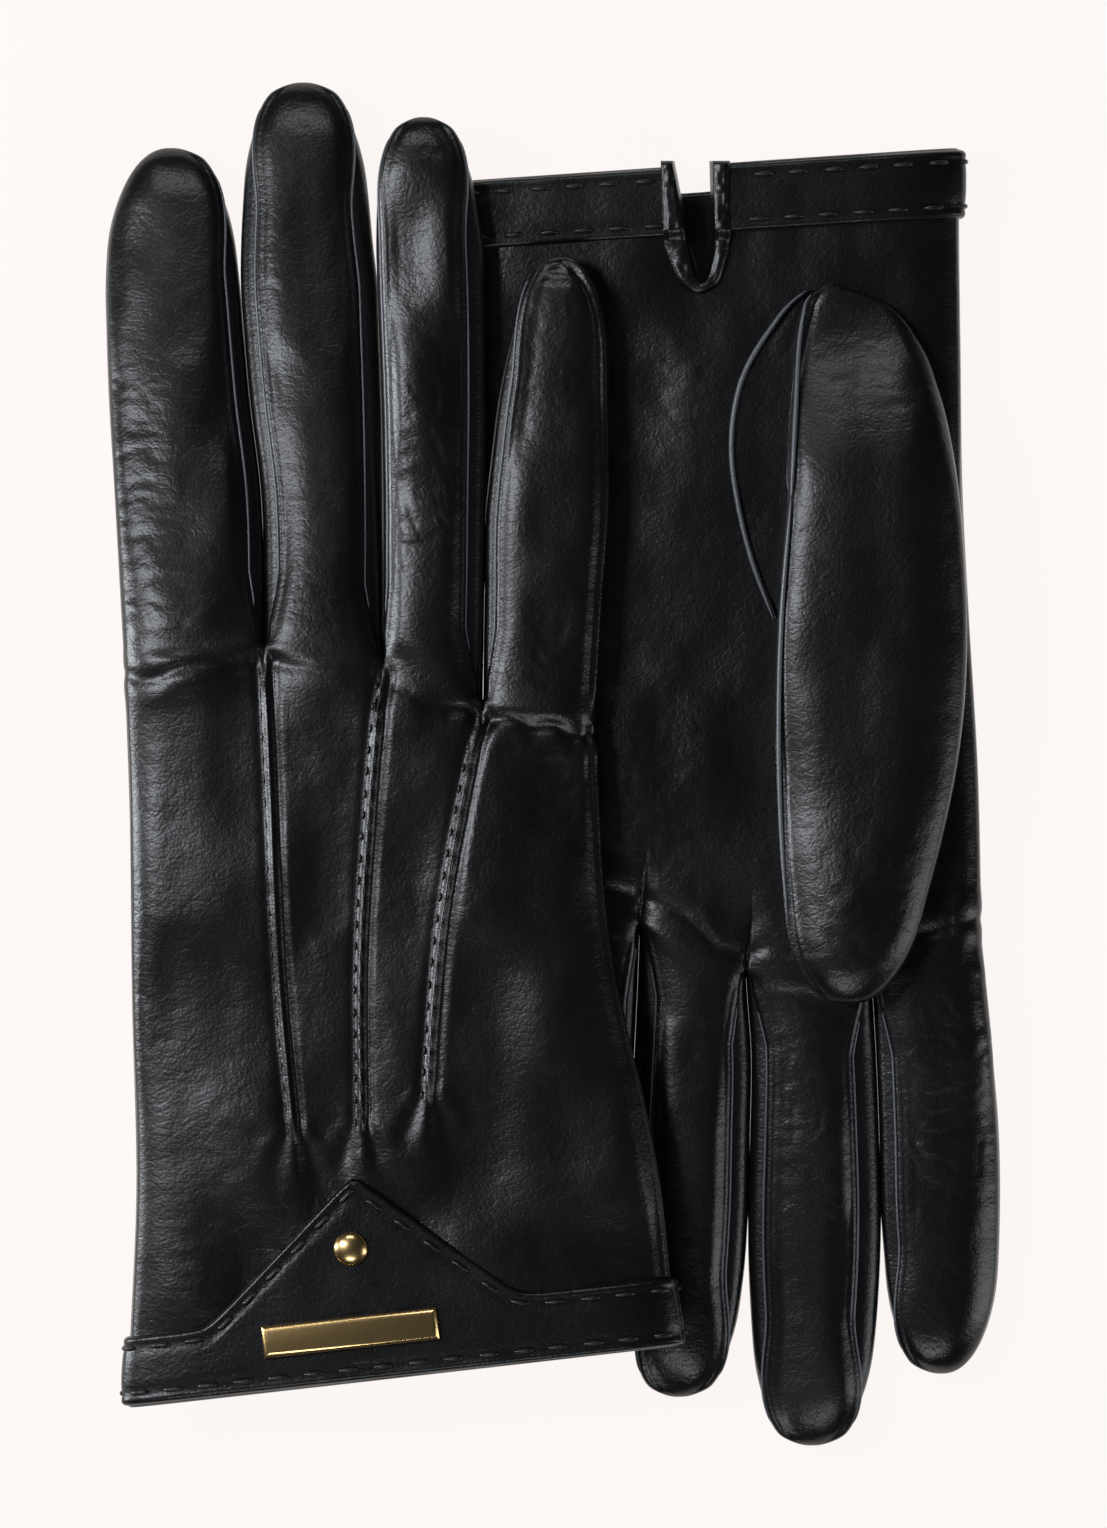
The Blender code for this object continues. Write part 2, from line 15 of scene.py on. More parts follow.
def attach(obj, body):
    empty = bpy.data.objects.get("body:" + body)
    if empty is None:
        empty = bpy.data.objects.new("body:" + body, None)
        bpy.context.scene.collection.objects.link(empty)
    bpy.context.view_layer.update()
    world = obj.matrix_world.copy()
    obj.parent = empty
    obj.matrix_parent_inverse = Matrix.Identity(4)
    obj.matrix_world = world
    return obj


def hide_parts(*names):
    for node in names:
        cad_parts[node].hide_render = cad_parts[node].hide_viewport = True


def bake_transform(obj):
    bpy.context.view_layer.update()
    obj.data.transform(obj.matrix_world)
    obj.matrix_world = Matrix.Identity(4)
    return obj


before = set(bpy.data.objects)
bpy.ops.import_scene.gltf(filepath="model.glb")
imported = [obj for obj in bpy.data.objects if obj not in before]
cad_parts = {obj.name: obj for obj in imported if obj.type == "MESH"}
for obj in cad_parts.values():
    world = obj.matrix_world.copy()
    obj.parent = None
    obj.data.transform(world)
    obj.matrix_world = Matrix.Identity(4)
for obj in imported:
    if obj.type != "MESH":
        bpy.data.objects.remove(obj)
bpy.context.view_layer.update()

MM = 0.001
HALF = 5.2           # half the thickness of the flattened hand
FINGER_HALF = 4.9
FINGER_THINS = 11    # the length over which a finger thins to nothing at its tip
SEAM_HALF = 2.5      # half the distance between a fourchette's two seams
SEAM_TAPERS = 15     # the length over which the seams close at the tip
SEAM_RIDGE = 0.7     # how far a seam stands up
GROOVE = 0.35        # how deep a fourchette folds in
CENTRE_X = 0.23      # the gloves' shared middle, which is the frame's origin

# ---------------------------------------------------------------- the two gloves, in the hand frame

# The three raised lines on the back: x and y of each one's lower end
POINTS = [(-48.2, -72.0), (-34.6, -70.5), (-21.9, -65.0)]

# The outline on the little finger's side, as (y, x), up to where the two gloves differ
LITTLE_SIDE = [(-110, 24.4), (-98, 22.5), (-86, 21.2), (-74, 19.3), (-61, 16.6), (-48, 13.7), (-35, 11.3),
               (-22, 9.8)]

# height is that of the glove's middle plane. roots holds the crotches between the fingers, from the
# index side, with the outer edges at both ends. Each finger has its left and right edge at each y,
# its tip, the length of its round end, the droop of the tip, and the width of the fourchette on
# each side.
RIGHT = dict(
    name="right", height=20.85, back_up=True, back_dip=0.0, seed=11, thumb_seed=83,
    roots=[(-80.4, 22.0), (-54.1, 22.2), (-31.8, 19.8), (-13.0, 11.6), (8.2, 9.0)],
    wrist=((-80.2, -120.6), (24.6, -108.9)),
    index_side=[(-121, -80.0), (-107, -79.3), (-82, -78.2), (-44, -79.0), (-7, -79.5), (22, -80.6)],
    little_side=[*LITTLE_SIDE, (-7, 8.8), (9, 8.2)],
    thumb_z=-15.8,
    fingers=dict(
        index=dict(edges=[(22, -80.6, -54.1), (53, -82.5, -55.0), (68, -83.5, -56.9), (82, -84.1, -58.2),
                          (90, -84.3, -58.9), (98, -84.0, -59.8), (110, -83.0, -61.2)],
                   tip=116.6, cap=21, drop=-15.6, strips=(0, 3.4)),
        middle=dict(edges=[(22, -54.1, -31.8), (53, -55.0, -31.8), (68, -56.9, -32.1), (82, -58.2, -32.6),
                           (90, -58.8, -32.9), (98, -58.8, -33.8), (107, -58.4, -34.7), (120, -57.6, -36.2)],
                    tip=129.0, cap=20, drop=-15.6, strips=(3.6, 4.2)),
        ring=dict(edges=[(16, -31.8, -13.0), (22, -31.8, -12.9), (31, -31.8, -12.75), (53, -31.8, -12.5),
                         (68, -32.1, -12.3), (82, -32.6, -12.4), (90, -32.9, -12.6), (97, -33.1, -12.9),
                         (106, -32.9, -14.2), (114, -32.4, -15.4)],
                  tip=121.6, cap=17, drop=0.0, strips=(1.6, 4.2)),
        little=dict(edges=[(10, -13.0, 8.2), (22, -12.9, 8.8), (31, -12.75, 9.3), (47, -12.5, 10.5),
                           (58, -11.4, 10.7), (68, -10.2, 10.8), (84, -7.2, 10.4), (92, -6.0, 9.8)],
                    tip=95.4, cap=19, drop=0.0, strips=(2.8, 0)),
    ),
)
LEFT = dict(
    name="left", height=8.4, back_up=False, back_dip=4.8, seed=47, thumb_seed=29,
    roots=[(-81.2, 34.0), (-60.0, 41.0), (-36.1, 39.2), (-16.6, 30.2), (2.6, 26.0)],
    wrist=((-79.6, -116.2), (24.2, -109.3)),
    index_side=[(-116, -77.0), (-103, -76.9), (-76, -77.2), (-53, -77.5), (-27, -78.8), (0, -80.4),
                (34, -81.2)],
    little_side=[*LITTLE_SIDE, (0, 7.6), (26, 2.6)],
    thumb_z=-10.8,
    fingers=dict(
        index=dict(edges=[(34, -81.2, -60.2), (40, -81.8, -60.4), (55, -83.2, -61.2), (70, -84.4, -61.8),
                          (86, -84.6, -62.2), (95, -84.3, -62.9), (105, -83.6, -63.6)],
                   tip=115.4, cap=20, drop=3.35, strips=(0, 3.8)),
        middle=dict(edges=[(34, -60.2, -36.4), (40, -60.4, -36.6), (55, -61.2, -37.6), (70, -61.8, -37.4),
                           (86, -62.2, -37.0), (95, -62.0, -37.1), (105, -61.4, -37.6), (118, -60.0, -38.6)],
                    tip=129.0, cap=19, drop=3.35, strips=(5.2, 3.6)),
        ring=dict(edges=[(34, -36.4, -16.4), (40, -36.6, -16.2), (55, -37.6, -15.5), (70, -37.4, -14.8),
                         (86, -37.0, -14.6), (95, -36.4, -14.5), (103, -35.4, -14.4), (110, -34.4, -14.6)],
                  tip=119.8, cap=18, drop=3.35, strips=(4.4, 4.4)),
        little=dict(edges=[(28, -16.6, 2.6), (34, -16.4, 3.4), (40, -16.2, 4.0), (55, -15.5, 5.6),
                           (70, -14.8, 6.6), (84, -12.0, 7.0)],
                    tip=92.0, cap=18, drop=3.35, strips=(2.4, 0)),
    ),
)


# ---------------------------------------------------------------- small maths

def ease(t):
    t = np.clip(t, 0.0, 1.0)
    return t * t * (3 - 2 * t)


def hump(off, width):
    return np.exp(-(off / width) ** 2)


def dome(share, power):
    """A superellipse: 1 in the middle, 0 at -1 and 1."""
    return np.clip(1 - np.abs(share) ** power, 0, 1) ** (1 / power)


def curve(table, y):
    """A smooth curve through a list of (position, value), straight beyond its ends."""
    table = np.array(table, float)
    xs, vs = table[:, 0], table[:, 1]
    slopes = np.gradient(vs, xs)
    y = np.asarray(y, float)
    clipped = np.clip(y, xs[0], xs[-1])
    k = np.clip(np.searchsorted(xs, clipped, side="right") - 1, 0, len(xs) - 2)
    span = xs[k + 1] - xs[k]
    t = (clipped - xs[k]) / span
    a, b = vs[k], vs[k + 1]
    ma, mb = slopes[k] * span, slopes[k + 1] * span
    value = (2 * t**3 - 3 * t**2 + 1) * a + (t**3 - 2 * t**2 + t) * ma
    value = value + (-2 * t**3 + 3 * t**2) * b + (t**3 - t**2) * mb
    beyond = np.where(y < xs[0], slopes[0], slopes[-1])
    return value + (y - clipped) * beyond


def curves(table, at):
    """The two curves of a table of (position, value, value)."""
    return [curve([(row[0], row[value]) for row in table], at) for value in (1, 2)]


def lattice(i, j, seed):
    """A repeatable random number from -1 to 1 for each lattice point."""
    n = (i * 374761393 + j * 668265263 + seed * 974634777) & 0xFFFFFFFF
    n = ((n ^ (n >> 13)) * 1274126177) & 0xFFFFFFFF
    return ((n ^ (n >> 16)) & 0xFFFF) / 32767.5 - 1.0


def noise(x, y, seed):
    """Smooth noise from -1 to 1 with features about one unit across."""
    x, y = np.broadcast_arrays(np.asarray(x, float), np.asarray(y, float))
    i, j = np.floor(x).astype(np.int64), np.floor(y).astype(np.int64)
    u, v = x - i, y - j
    u, v = u * u * u * (u * (u * 6 - 15) + 10), v * v * v * (v * (v * 6 - 15) + 10)
    low = lattice(i, j, seed) * (1 - u) + lattice(i + 1, j, seed) * u
    high = lattice(i, j + 1, seed) * (1 - u) + lattice(i + 1, j + 1, seed) * u
    return low * (1 - v) + high * v


def creases(x, y, seed):
    """Fine irregular creases that run across the fingers: valleys about 2 mm apart."""
    wander = 2.2 * noise(x / 9, y / 9, seed + 1)
    lines = noise(x / 6, (y + wander) / 2, seed)
    finer = noise(x / 3, y + wander, seed + 2)
    return -hump(lines, 0.22) - 0.45 * hump(finer, 0.25)


# ---------------------------------------------------------------- meshes

def place(glove, points):
    """Hand-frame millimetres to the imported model's frame in metres."""
    p = np.asarray(points, float)
    if glove["back_up"]:
        out = p + [-CENTRE_X, 0, glove["height"]]
    else:
        out = p * [-1, -1, -1] + [-CENTRE_X, 0, glove["height"]]
    return out * MM


def grid_faces(rows, cols, first=0):
    i, j = np.meshgrid(np.arange(rows - 1), np.arange(cols - 1), indexing="ij")
    a = (first + i * cols + j).ravel()
    return np.stack([a, a + 1, a + cols + 1, a + cols], 1)


class Skin:
    """Pieces of one continuous skin. Points that coincide share their normal, so no join shows."""

    def __init__(self, glove):
        self.glove = glove
        self.pieces = {}

    def add(self, name, grid, outward):
        """A grid of points, rows by columns by 3. outward is 1 if rows x columns turn anticlockwise."""
        rows, cols = grid.shape[:2]
        points, faces = self.pieces.setdefault(name, ([], []))
        first = sum(len(p) for p in points)
        quads = grid_faces(rows, cols, first)
        turned = outward if self.glove["back_up"] else -outward
        faces.append(quads if turned > 0 else quads[:, ::-1])
        points.append(grid.reshape(-1, 3))

    def build(self):
        pieces = {
            name: (place(self.glove, np.concatenate(points)), np.concatenate(faces))
            for name, (points, faces) in self.pieces.items()
        }
        # Points within 0.02 mm of each other share one normal
        cells = [np.round(co / (0.02 * MM)).astype(np.int64) for co, _ in pieces.values()]
        unique, index = np.unique(np.concatenate(cells), axis=0, return_inverse=True)
        own = np.split(index.ravel(), np.cumsum([len(c) for c in cells])[:-1])
        normals = np.zeros((len(unique), 3))
        for (co, faces), where in zip(pieces.values(), own):
            a, b, c, d = (co[faces[:, k]] for k in range(4))
            face_normal = np.cross(c - a, d - b)
            for k in range(4):
                np.add.at(normals, where[faces[:, k]], face_normal)
        normals /= np.maximum(np.linalg.norm(normals, axis=1, keepdims=True), 1e-20)
        return {
            name: mesh_object(name, co, faces.tolist(), normals[where])
            for (name, (co, faces)), where in zip(pieces.items(), own)
        }


def link_object(name, data):
    made = bpy.data.objects.new(name, data)
    bpy.context.scene.collection.objects.link(made)
    return made


def mesh_object(name, co, faces, normals=None):
    mesh = bpy.data.meshes.new(name)
    mesh.from_pydata(co.tolist(), [], [list(dict.fromkeys(f)) for f in faces])
    mesh.validate()
    mesh.shade_smooth()
    if normals is not None and len(mesh.vertices) == len(normals):
        mesh.normals_split_custom_set_from_vertices(normals.tolist())
    return link_object(name, mesh)


def tubes_object(name, glove, tubes):
    """Tubes from capsule() as one piece."""
    points, faces = [], []
    first = 0
    for tube_points, tube_faces in tubes:
        points.append(tube_points)
        faces += [[v + first for v in face] for face in tube_faces]
        first += len(tube_points)
    if not glove["back_up"]:
        faces = [face[::-1] for face in faces]
    return mesh_object(name, place(glove, np.concatenate(points)), faces)


# ---------------------------------------------------------------- surfaces

COLUMNS = 40      # columns over one finger's back
BODY_ROWS = 110
CAP_ROWS = 30
STRIP_COLUMNS = 14


def column_shares():
    """Shares from -1 to 1 across a finger, closer together near its seams."""
    a = np.linspace(-1, 1, COLUMNS + 1)
    return 0.55 * np.sin(math.pi * a / 2) + 0.45 * a


SHARES = column_shares()


def finger_rows(finger):
    """Shares of the way from root to tip."""
    start = finger["edges"][0][0]
    body = (finger["tip"] - finger["cap"] - start) / (finger["tip"] - start)
    rows = np.linspace(0, body, BODY_ROWS)
    cap = body + (1 - body) * np.sin(np.linspace(0, math.pi / 2, CAP_ROWS + 1)[1:])
    return np.concatenate([rows, cap])


def near_tip(tip, y, length):
    """0 up to length below the tip, 1 at it."""
    return np.clip((y - (tip - length)) / length, 0, 1)


def seam_height(finger, y):
    """Half height of the fourchette: nothing at the very tip."""
    return SEAM_HALF * dome(near_tip(finger["tip"], y, SEAM_TAPERS), 2.0)


def strip_width(finger, side, y, start):
    """Width of the fourchette: a point at the crotch and at the tip."""
    full = finger["strips"][side]
    grown = np.clip((y - start) / 14, 0, 1) ** 0.6
    closing = ease((y - (finger["tip"] - 26)) / 24)
    return full * grown * (1 - closing)


def finger_frame(glove, key, shares):
    """y, middle and half width, the middle's height, half thickness and the root's y."""
    finger = glove["fingers"][key]
    order = list(glove["fingers"]).index(key)
    (_, y_left), (_, y_right) = glove["roots"][order], glove["roots"][order + 1]
    start = y_left + (y_right - y_left) * (shares[None, :] + 1) / 2
    v = finger_rows(finger)[:, None]
    y = start + (finger["tip"] - start) * v
    left, right = curves(finger["edges"], y)
    middle, half = (left + right) / 2, (right - left) / 2
    half = half * dome(near_tip(finger["tip"], y, finger["cap"]), 2.25) + 0.06
    share = np.clip((y - start) / (finger["tip"] - start), 0, 1)
    level = finger["drop"] * share**1.08
    thick = FINGER_HALF * (1 - 0.10 * share) * dome(near_tip(finger["tip"], y, FINGER_THINS), 2.0)
    return y, middle, half, level, thick, start


def finger_surface(glove, key, side):
    """The leather over (side 1) or under (side -1) the finger, between its seams."""
    finger = glove["fingers"][key]
    y, middle, half, level, thick, start = finger_frame(glove, key, SHARES)
    q = SHARES[None, :]
    left = strip_width(finger, 0, y, start)
    right = strip_width(finger, 1, y, start)
    x = middle + q * half + np.where(q < 0, left * -q, -right * q)
    seam = np.minimum(seam_height(finger, y), thick)
    edge = seam * np.where(q < 0, finger["strips"][0] > 0, finger["strips"][1] > 0)
    height = edge + (thick - edge) * dome(q, 2.5)
    return np.stack([x, y, level + side * height], -1)


def seam_ridge(points, finger):
    """How much a seam stands up, near each edge that has one."""
    x = points[..., 0]
    lift = 0 * x
    for edge, has_strip in zip((x[:, :1], x[:, -1:]), finger["strips"]):
        if has_strip:
            lift += hump(x - edge, 0.42)
    return lift * SEAM_RIDGE


def finger_strip(glove, key, side):
    """The fourchette at the index side (0) or the little side (1), from its upper to its lower seam."""
    finger = glove["fingers"][key]
    sign = -1.0 if side == 0 else 1.0
    y, middle, half, level, thick, start = finger_frame(glove, key, np.array([sign]))
    width = strip_width(finger, side, y, start)
    b = np.linspace(0, 1, STRIP_COLUMNS + 1)[None, :]
    seam = np.minimum(seam_height(finger, y), thick)
    dip = GROOVE * np.sin(np.pi * b) ** 0.4 * np.minimum(1, width)
    x = middle + sign * (half - width + (width - 0.2 * dip) * np.sin(np.pi * b) ** 0.8)
    turn = np.cos(np.pi * b)
    z = level + seam * turn - 0.5 * dip * np.sign(turn) * np.abs(turn) ** 0.5
    return np.stack([x, y + 0 * b, z], -1)


HAND_ROWS = 190
LEAN_FROM = -70.0    # above this the columns lean from the points to the crotches


def outline(glove, y):
    """x of the hand's index side and of its little finger's side."""
    return curve(glove["index_side"], y), curve(glove["little_side"], y)


def wrist_line(glove, x):
    (x0, y0), (x1, y1) = glove["wrist"]
    return y0 + (y1 - y0) * (x - x0) / (x1 - x0)


VENT_X = -26.65          # the slit on the palm side, at the cuff's edge
VENT_LEAN = -1.65        # how far its top lies from that
VENT_MOUTH = 4.9         # half its width at the cuff's edge, to the middle of the binding
VENT_TOP = 1.3
VENT_DEPTH = 23.0


def vent_edges(rise):
    """The slit's two sides at a height above the cuff's edge."""
    share = np.clip(rise / VENT_DEPTH, 0, 1)
    middle = VENT_X + VENT_LEAN * share
    half = VENT_MOUTH + (VENT_TOP - VENT_MOUTH) * share
    return middle - half, middle + half


def vent_notch(x):
    """How high the palm's lower edge is cut away at x."""
    rise = np.linspace(0, VENT_DEPTH, 60)
    left, right = vent_edges(rise)
    on_left = np.interp(x, left, rise, left=0, right=VENT_DEPTH)
    on_right = np.interp(-x, -right, rise, left=0, right=VENT_DEPTH)
    return np.minimum(on_left, on_right)


def cuff_edge(glove, x, side):
    """The cuff's edge. Opposite the slit the lower glove's back is drawn up a little."""
    dip = glove["back_dip"] * np.exp(-((x - VENT_X) / 11.0) ** 4) if side > 0 else 0.0
    return wrist_line(glove, x) + dip


def hand_surface(glove, side, inset=0.0):
    """The back (side 1) or palm (side -1) from the cuff's edge to the roots of the fingers."""
    keys = list(glove["fingers"])
    tops = [finger_surface(glove, key, side)[0] for key in keys]
    top = np.concatenate([tops[0]] + [row[1:] for row in tops[1:]])
    # Lower down, the columns that start at a crotch follow the points
    ends = np.array([glove["index_side"][0][1], *(x for x, _ in POINTS), glove["little_side"][0][1]])
    at = np.arange(len(top))
    group = np.minimum(at // COLUMNS, len(keys) - 1)
    share_in = (SHARES[at - group * COLUMNS] + 1) / 2
    base_x = ends[group] + (ends[group + 1] - ends[group]) * share_in
    t = np.linspace(0, 1, HAND_ROWS)[:, None]
    x_top, y_top = top[:, 0], top[:, 1]
    y_low = cuff_edge(glove, base_x, side) + (vent_notch(base_x) if side < 0 else 0)
    # the rows even out just above the slit
    y_mid = wrist_line(glove, base_x) + VENT_DEPTH + 6.0
    low_part = 0.22
    y = np.where(t < low_part, y_low + (y_mid - y_low) * t / low_part,
                 y_mid + (y_top - y_mid) * (t - low_part) / (1 - low_part))
    lean = np.clip((y - LEAN_FROM) / (y_top - LEAN_FROM), 0, 1)
    x_free = base_x + (x_top - base_x) * lean
    left, right = outline(glove, y)
    # keep the outermost columns on the outline, and spread the rest between
    left_free, right_free = x_free[:, :1], x_free[:, -1:]
    x = left + (x_free - left_free) / (right_free - left_free) * (right - left)
    x = x + (x_top - x) * ease((t - 0.93) / 0.07)
    share = np.clip((2 * x - left - right) / (right - left), -1, 1)
    flat = HALF * dome(share, 4.0) - inset
    finger_z = side * top[:, 2]
    near = ease((y - (y_top - 20)) / 20) ** 2
    z = flat + (finger_z - flat) * near
    z[:, 0] = 0
    z[:, -1] = 0
    return np.stack([x, y, side * z], -1)


# ---------------------------------------------------------------- the thumb and its gusset

THUMB_INNER = [(-90.4, -48.3), (-81, -46.4), (-68, -45.4), (-53, -44.5), (-27, -42.4), (-8, -41.9),
               (16, -42.7), (31, -44.0), (45, -45.5)]
THUMB_OUTER = [(-90.4, -56.0), (-86.3, -63.4), (-79.7, -69.0), (-70, -72.9), (-57, -75.7), (-38, -77.6),
               (-20, -78.0), (0, -76.2), (14, -73.4), (28, -69.8), (45, -65.6)]
THUMB_END = 45.3
THUMB_START = -90.4
THUMB_CAP = 17        # the length of its round end
THUMB_THINS = 9       # the length over which it thins to nothing
THUMB_JOINT = -50.0
THUMB_BASE_Z = -6.6
THUMB_ROWS = 170
THUMB_COLUMNS = 56


def thumb_rows():
    """Heights from the thumb's base to its tip, closer together at both round ends."""
    t = np.linspace(0, math.pi, THUMB_ROWS)
    eased = (1 - np.cos(t)) / 2
    y = THUMB_START + (THUMB_END - THUMB_START) * (0.45 * eased + 0.55 * np.linspace(0, 1, THUMB_ROWS))
    joint = np.argmin(np.abs(y - THUMB_JOINT))
    y[joint] = THUMB_JOINT
    return y, joint


def thumb_level(glove, y):
    """Height of the thumb's middle: on the palm at its base, then at its own height."""
    return THUMB_BASE_Z + (glove["thumb_z"] - THUMB_BASE_Z) * ease((y - THUMB_START) / 46)


def thumb_surface(glove, side):
    y, joint = thumb_rows()
    y = y[:, None]
    inner, outer = curve(THUMB_INNER, y), curve(THUMB_OUTER, y)
    base = np.clip((THUMB_START + 4 - y) / 4, 0, 1)
    middle, half = (inner + outer) / 2, (inner - outer) / 2
    half = half * dome(near_tip(THUMB_END, y, THUMB_CAP), 2.3) * dome(base, 2.0)
    a = np.linspace(-1, 1, THUMB_COLUMNS + 1)[None, :]
    q = 0.6 * np.sin(math.pi * a / 2) + 0.4 * a
    # fullest just inside the fold at the inner edge, and falling away to the outer edge
    full = 3.4 - 1.5 * ease((y + 35) / 45)
    rise = np.where(q > 0, dome(q, full), dome(q, 2.3))
    thick = 1.0 + 3.7 * ease((y - THUMB_START) / 34)
    thick = thick * dome(near_tip(THUMB_END, y, THUMB_THINS), 2.0)
    x = middle + q * half
    z = thumb_level(glove, y) + side * thick * rise
    return np.stack([x, y + 0 * q, z], -1), joint


GUSSET_EDGE = [(-89.5, -48.2), (-87.5, -45.6), (-81.6, -40.8), (-74, -36.3), (-66, -34.2), (-58, -33.8),
               (-49.6, -34.9), (-38.4, -37.6), (-27, -41.8)]
GUSSET_SPAN = (-89.3, -27.2)


def gusset_surface(glove):
    """The leaf between the palm and the inner fold of the thumb."""
    y = np.linspace(*GUSSET_SPAN, 90)[:, None]
    outer = curve(GUSSET_EDGE, y)
    inner = curve(THUMB_INNER, y) - 1.2
    t = np.linspace(0, 1, 26)[None, :] ** 1.3
    x = outer + (inner - outer) * t
    rise = 0.9 * hump(x - outer + 0.5, 0.5)
    z = -(HALF - 0.4) - rise - 0.25 * np.sin(np.pi * np.clip(t, 0, 1))
    # beside the hinge the leaf stays low, so it doesn't stand up when the thumb opens
    low = 1 - ease((y + 60) / 12)
    z = z + (thumb_level(glove, y) + 1.2 - z) * ease((t - 0.84) / 0.16) * low
    return np.stack([x, y + 0 * t, z], -1)


# ---------------------------------------------------------------- the cuff

BAND_HEIGHT = 13.0
BAND_LIFT = 1.35      # how far the band stands off the hand's middle leather
STITCH_INSET = 2.3
EDGE_STEPS = (0.0, 0.12, 0.3, 0.55, 0.9, 1.4, 2.2, 3.4)   # rows that round off the band's edges
TAB_APEX = (-37.3, 25.6)
TAB_BASE = (-63.6, -7.0)


def band_rise(x, side):
    """Height of the band, with the pointed tab on the back."""
    if side < 0:
        return BAND_HEIGHT + 0 * x
    apex, height = TAB_APEX
    off = np.sqrt((x - apex) ** 2 + 1.0) - 0.6
    reach = np.where(x < apex, apex - TAB_BASE[0], TAB_BASE[1] - apex)
    tab = height * (1 - off / reach)
    return BAND_HEIGHT + 0.5 * (tab + np.sqrt(tab**2 + 2.5))


def over_hand(glove, x, y, side, lift):
    """A point lift off the hand's surface, on the side given."""
    left, right = outline(glove, y)
    middle, half = (left + right) / 2, (right - left) / 2
    share = np.clip((x - middle) / half, -1, 1)
    z = (HALF + lift) * dome(share, 4.0)
    return np.stack([middle + share * (half + lift), y + 0 * x, side * z], -1)


def round_the_wrist(glove, count):
    """Columns round the wrist from one side of the slit to the other: x, side."""
    gap_left, gap_right = vent_edges(0.0)
    y = wrist_line(glove, VENT_X)
    left, right = outline(glove, y)
    middle, half = (left + right) / 2, (right - left) / 2
    a = np.linspace(0, 1, count)

    def rounded(from_x, to_x):
        # closer together near the side edges
        s0 = math.asin(np.clip((from_x - middle) / half, -1, 1))
        s1 = math.asin(np.clip((to_x - middle) / half, -1, 1))
        return middle + half * np.sin(s0 + (s1 - s0) * a)

    first = [(x, -1) for x in rounded(gap_right, right)]
    back = [(x, 1) for x in rounded(right, left)[1:-1]]
    last = [(x, -1) for x in rounded(left, gap_left)]
    return first + back + last


def beside_vent(x, side, rise):
    """On the palm side, columns close up towards the slit as it narrows."""
    if side > 0:
        return x + 0 * rise
    low, high = vent_edges(0.0), vent_edges(rise)
    fade = math.exp(-abs(x - VENT_X) / 16.0) / math.exp(-VENT_MOUTH / 16.0)
    shift = (high[1] - low[1]) if x > VENT_X else (high[0] - low[0])
    return x + shift * fade


def band_slope(x, side):
    return (band_rise(x + 0.1, side) - band_rise(x - 0.1, side)) / 0.2


def band_surface(glove):
    """The band from its lower to its upper edge; its two edges turn down on the skin."""
    columns = round_the_wrist(glove, 120)
    rows = []
    for x, side in columns:
        low, high = cuff_edge(glove, x, side), band_rise(np.array(x), side)
        steps = np.array(EDGE_STEPS)
        rise = np.concatenate([steps, np.linspace(4.6, high - 4.6, 18), high - steps[::-1]])
        off = np.minimum(rise, (high - rise) / math.hypot(1, band_slope(np.array(x), side)))
        lift = BAND_LIFT * (1 - np.clip(1 - off / 1.0, 0, 1) ** 2) ** 0.5 - 0.12
        # the rows of stitches draw the leather in
        lift = lift - 0.22 * hump(off - STITCH_INSET, 0.8)
        lift = lift + 0.10 * noise(x / 6 + side * 40, rise / 6, 71)
        y = low + rise
        rows.append(over_hand(glove, beside_vent(x, side, rise), y, side, lift))
    return np.stack(rows, 1)


def lip_surface(glove):
    """The cuff's turned edge and the lining's hem inside it."""
    columns = round_the_wrist(glove, 120)
    # rise above the cuff's edge, and height off the hand
    profile = [(0.0, -0.12), (-0.25, -0.5), (-0.3, -0.9), (-0.1, -1.35), (0.5, -1.6), (3.0, -1.65),
               (9.0, -1.6)]
    rise, lift = np.array(profile).T
    rows = [over_hand(glove, x, cuff_edge(glove, x, side) + rise, side, lift) for x, side in columns]
    return np.stack(rows, 1)


def lining_surface(glove, side):
    """The lining, a little inside the hand's leather."""
    keep = HAND_ROWS - 14
    surface = hand_surface(glove, side, inset=1.55)[:keep]
    surface[..., 1] += 2.2 * (1 - np.linspace(0, 1, keep)[:, None])
    centre = surface[..., 0].mean()
    surface[..., 0] = centre + (surface[..., 0] - centre) * 0.965
    return surface


# ---------------------------------------------------------------- stitches

BAND_PITCH = 6.6
BAND_STITCH = 4.3      # the length of a stitch
POINT_PITCH = 4.1
POINT_STITCH = 2.2


def capsule(path, radius, sides=8):
    """Points and faces of a tube with closed ends along a short path."""
    path = np.asarray(path, float)
    tangents = np.gradient(path, axis=0)
    tangents /= np.linalg.norm(tangents, axis=1, keepdims=True)
    up = np.array([0.0, 0.0, 1.0])
    across = np.cross(tangents, up)
    across /= np.maximum(np.linalg.norm(across, axis=1, keepdims=True), 1e-9)
    over = np.cross(across, tangents)
    n = len(path)
    shape = np.sqrt(np.clip(1 - np.abs(np.linspace(-1, 1, n)) ** 4, 0.02, 1))
    angles = np.linspace(0, 2 * math.pi, sides, endpoint=False)
    ring = across[:, None] * np.cos(angles)[None, :, None] + over[:, None] * np.sin(angles)[None, :, None]
    points = path[:, None] + ring * (radius * shape)[:, None, None]
    faces = []
    for i in range(n - 1):
        for j in range(sides):
            k = (j + 1) % sides
            faces.append([i * sides + j, i * sides + k, (i + 1) * sides + k, (i + 1) * sides + j])
    faces.append(list(range(sides))[::-1])
    faces.append([(n - 1) * sides + j for j in range(sides)])
    return points.reshape(-1, 3), faces


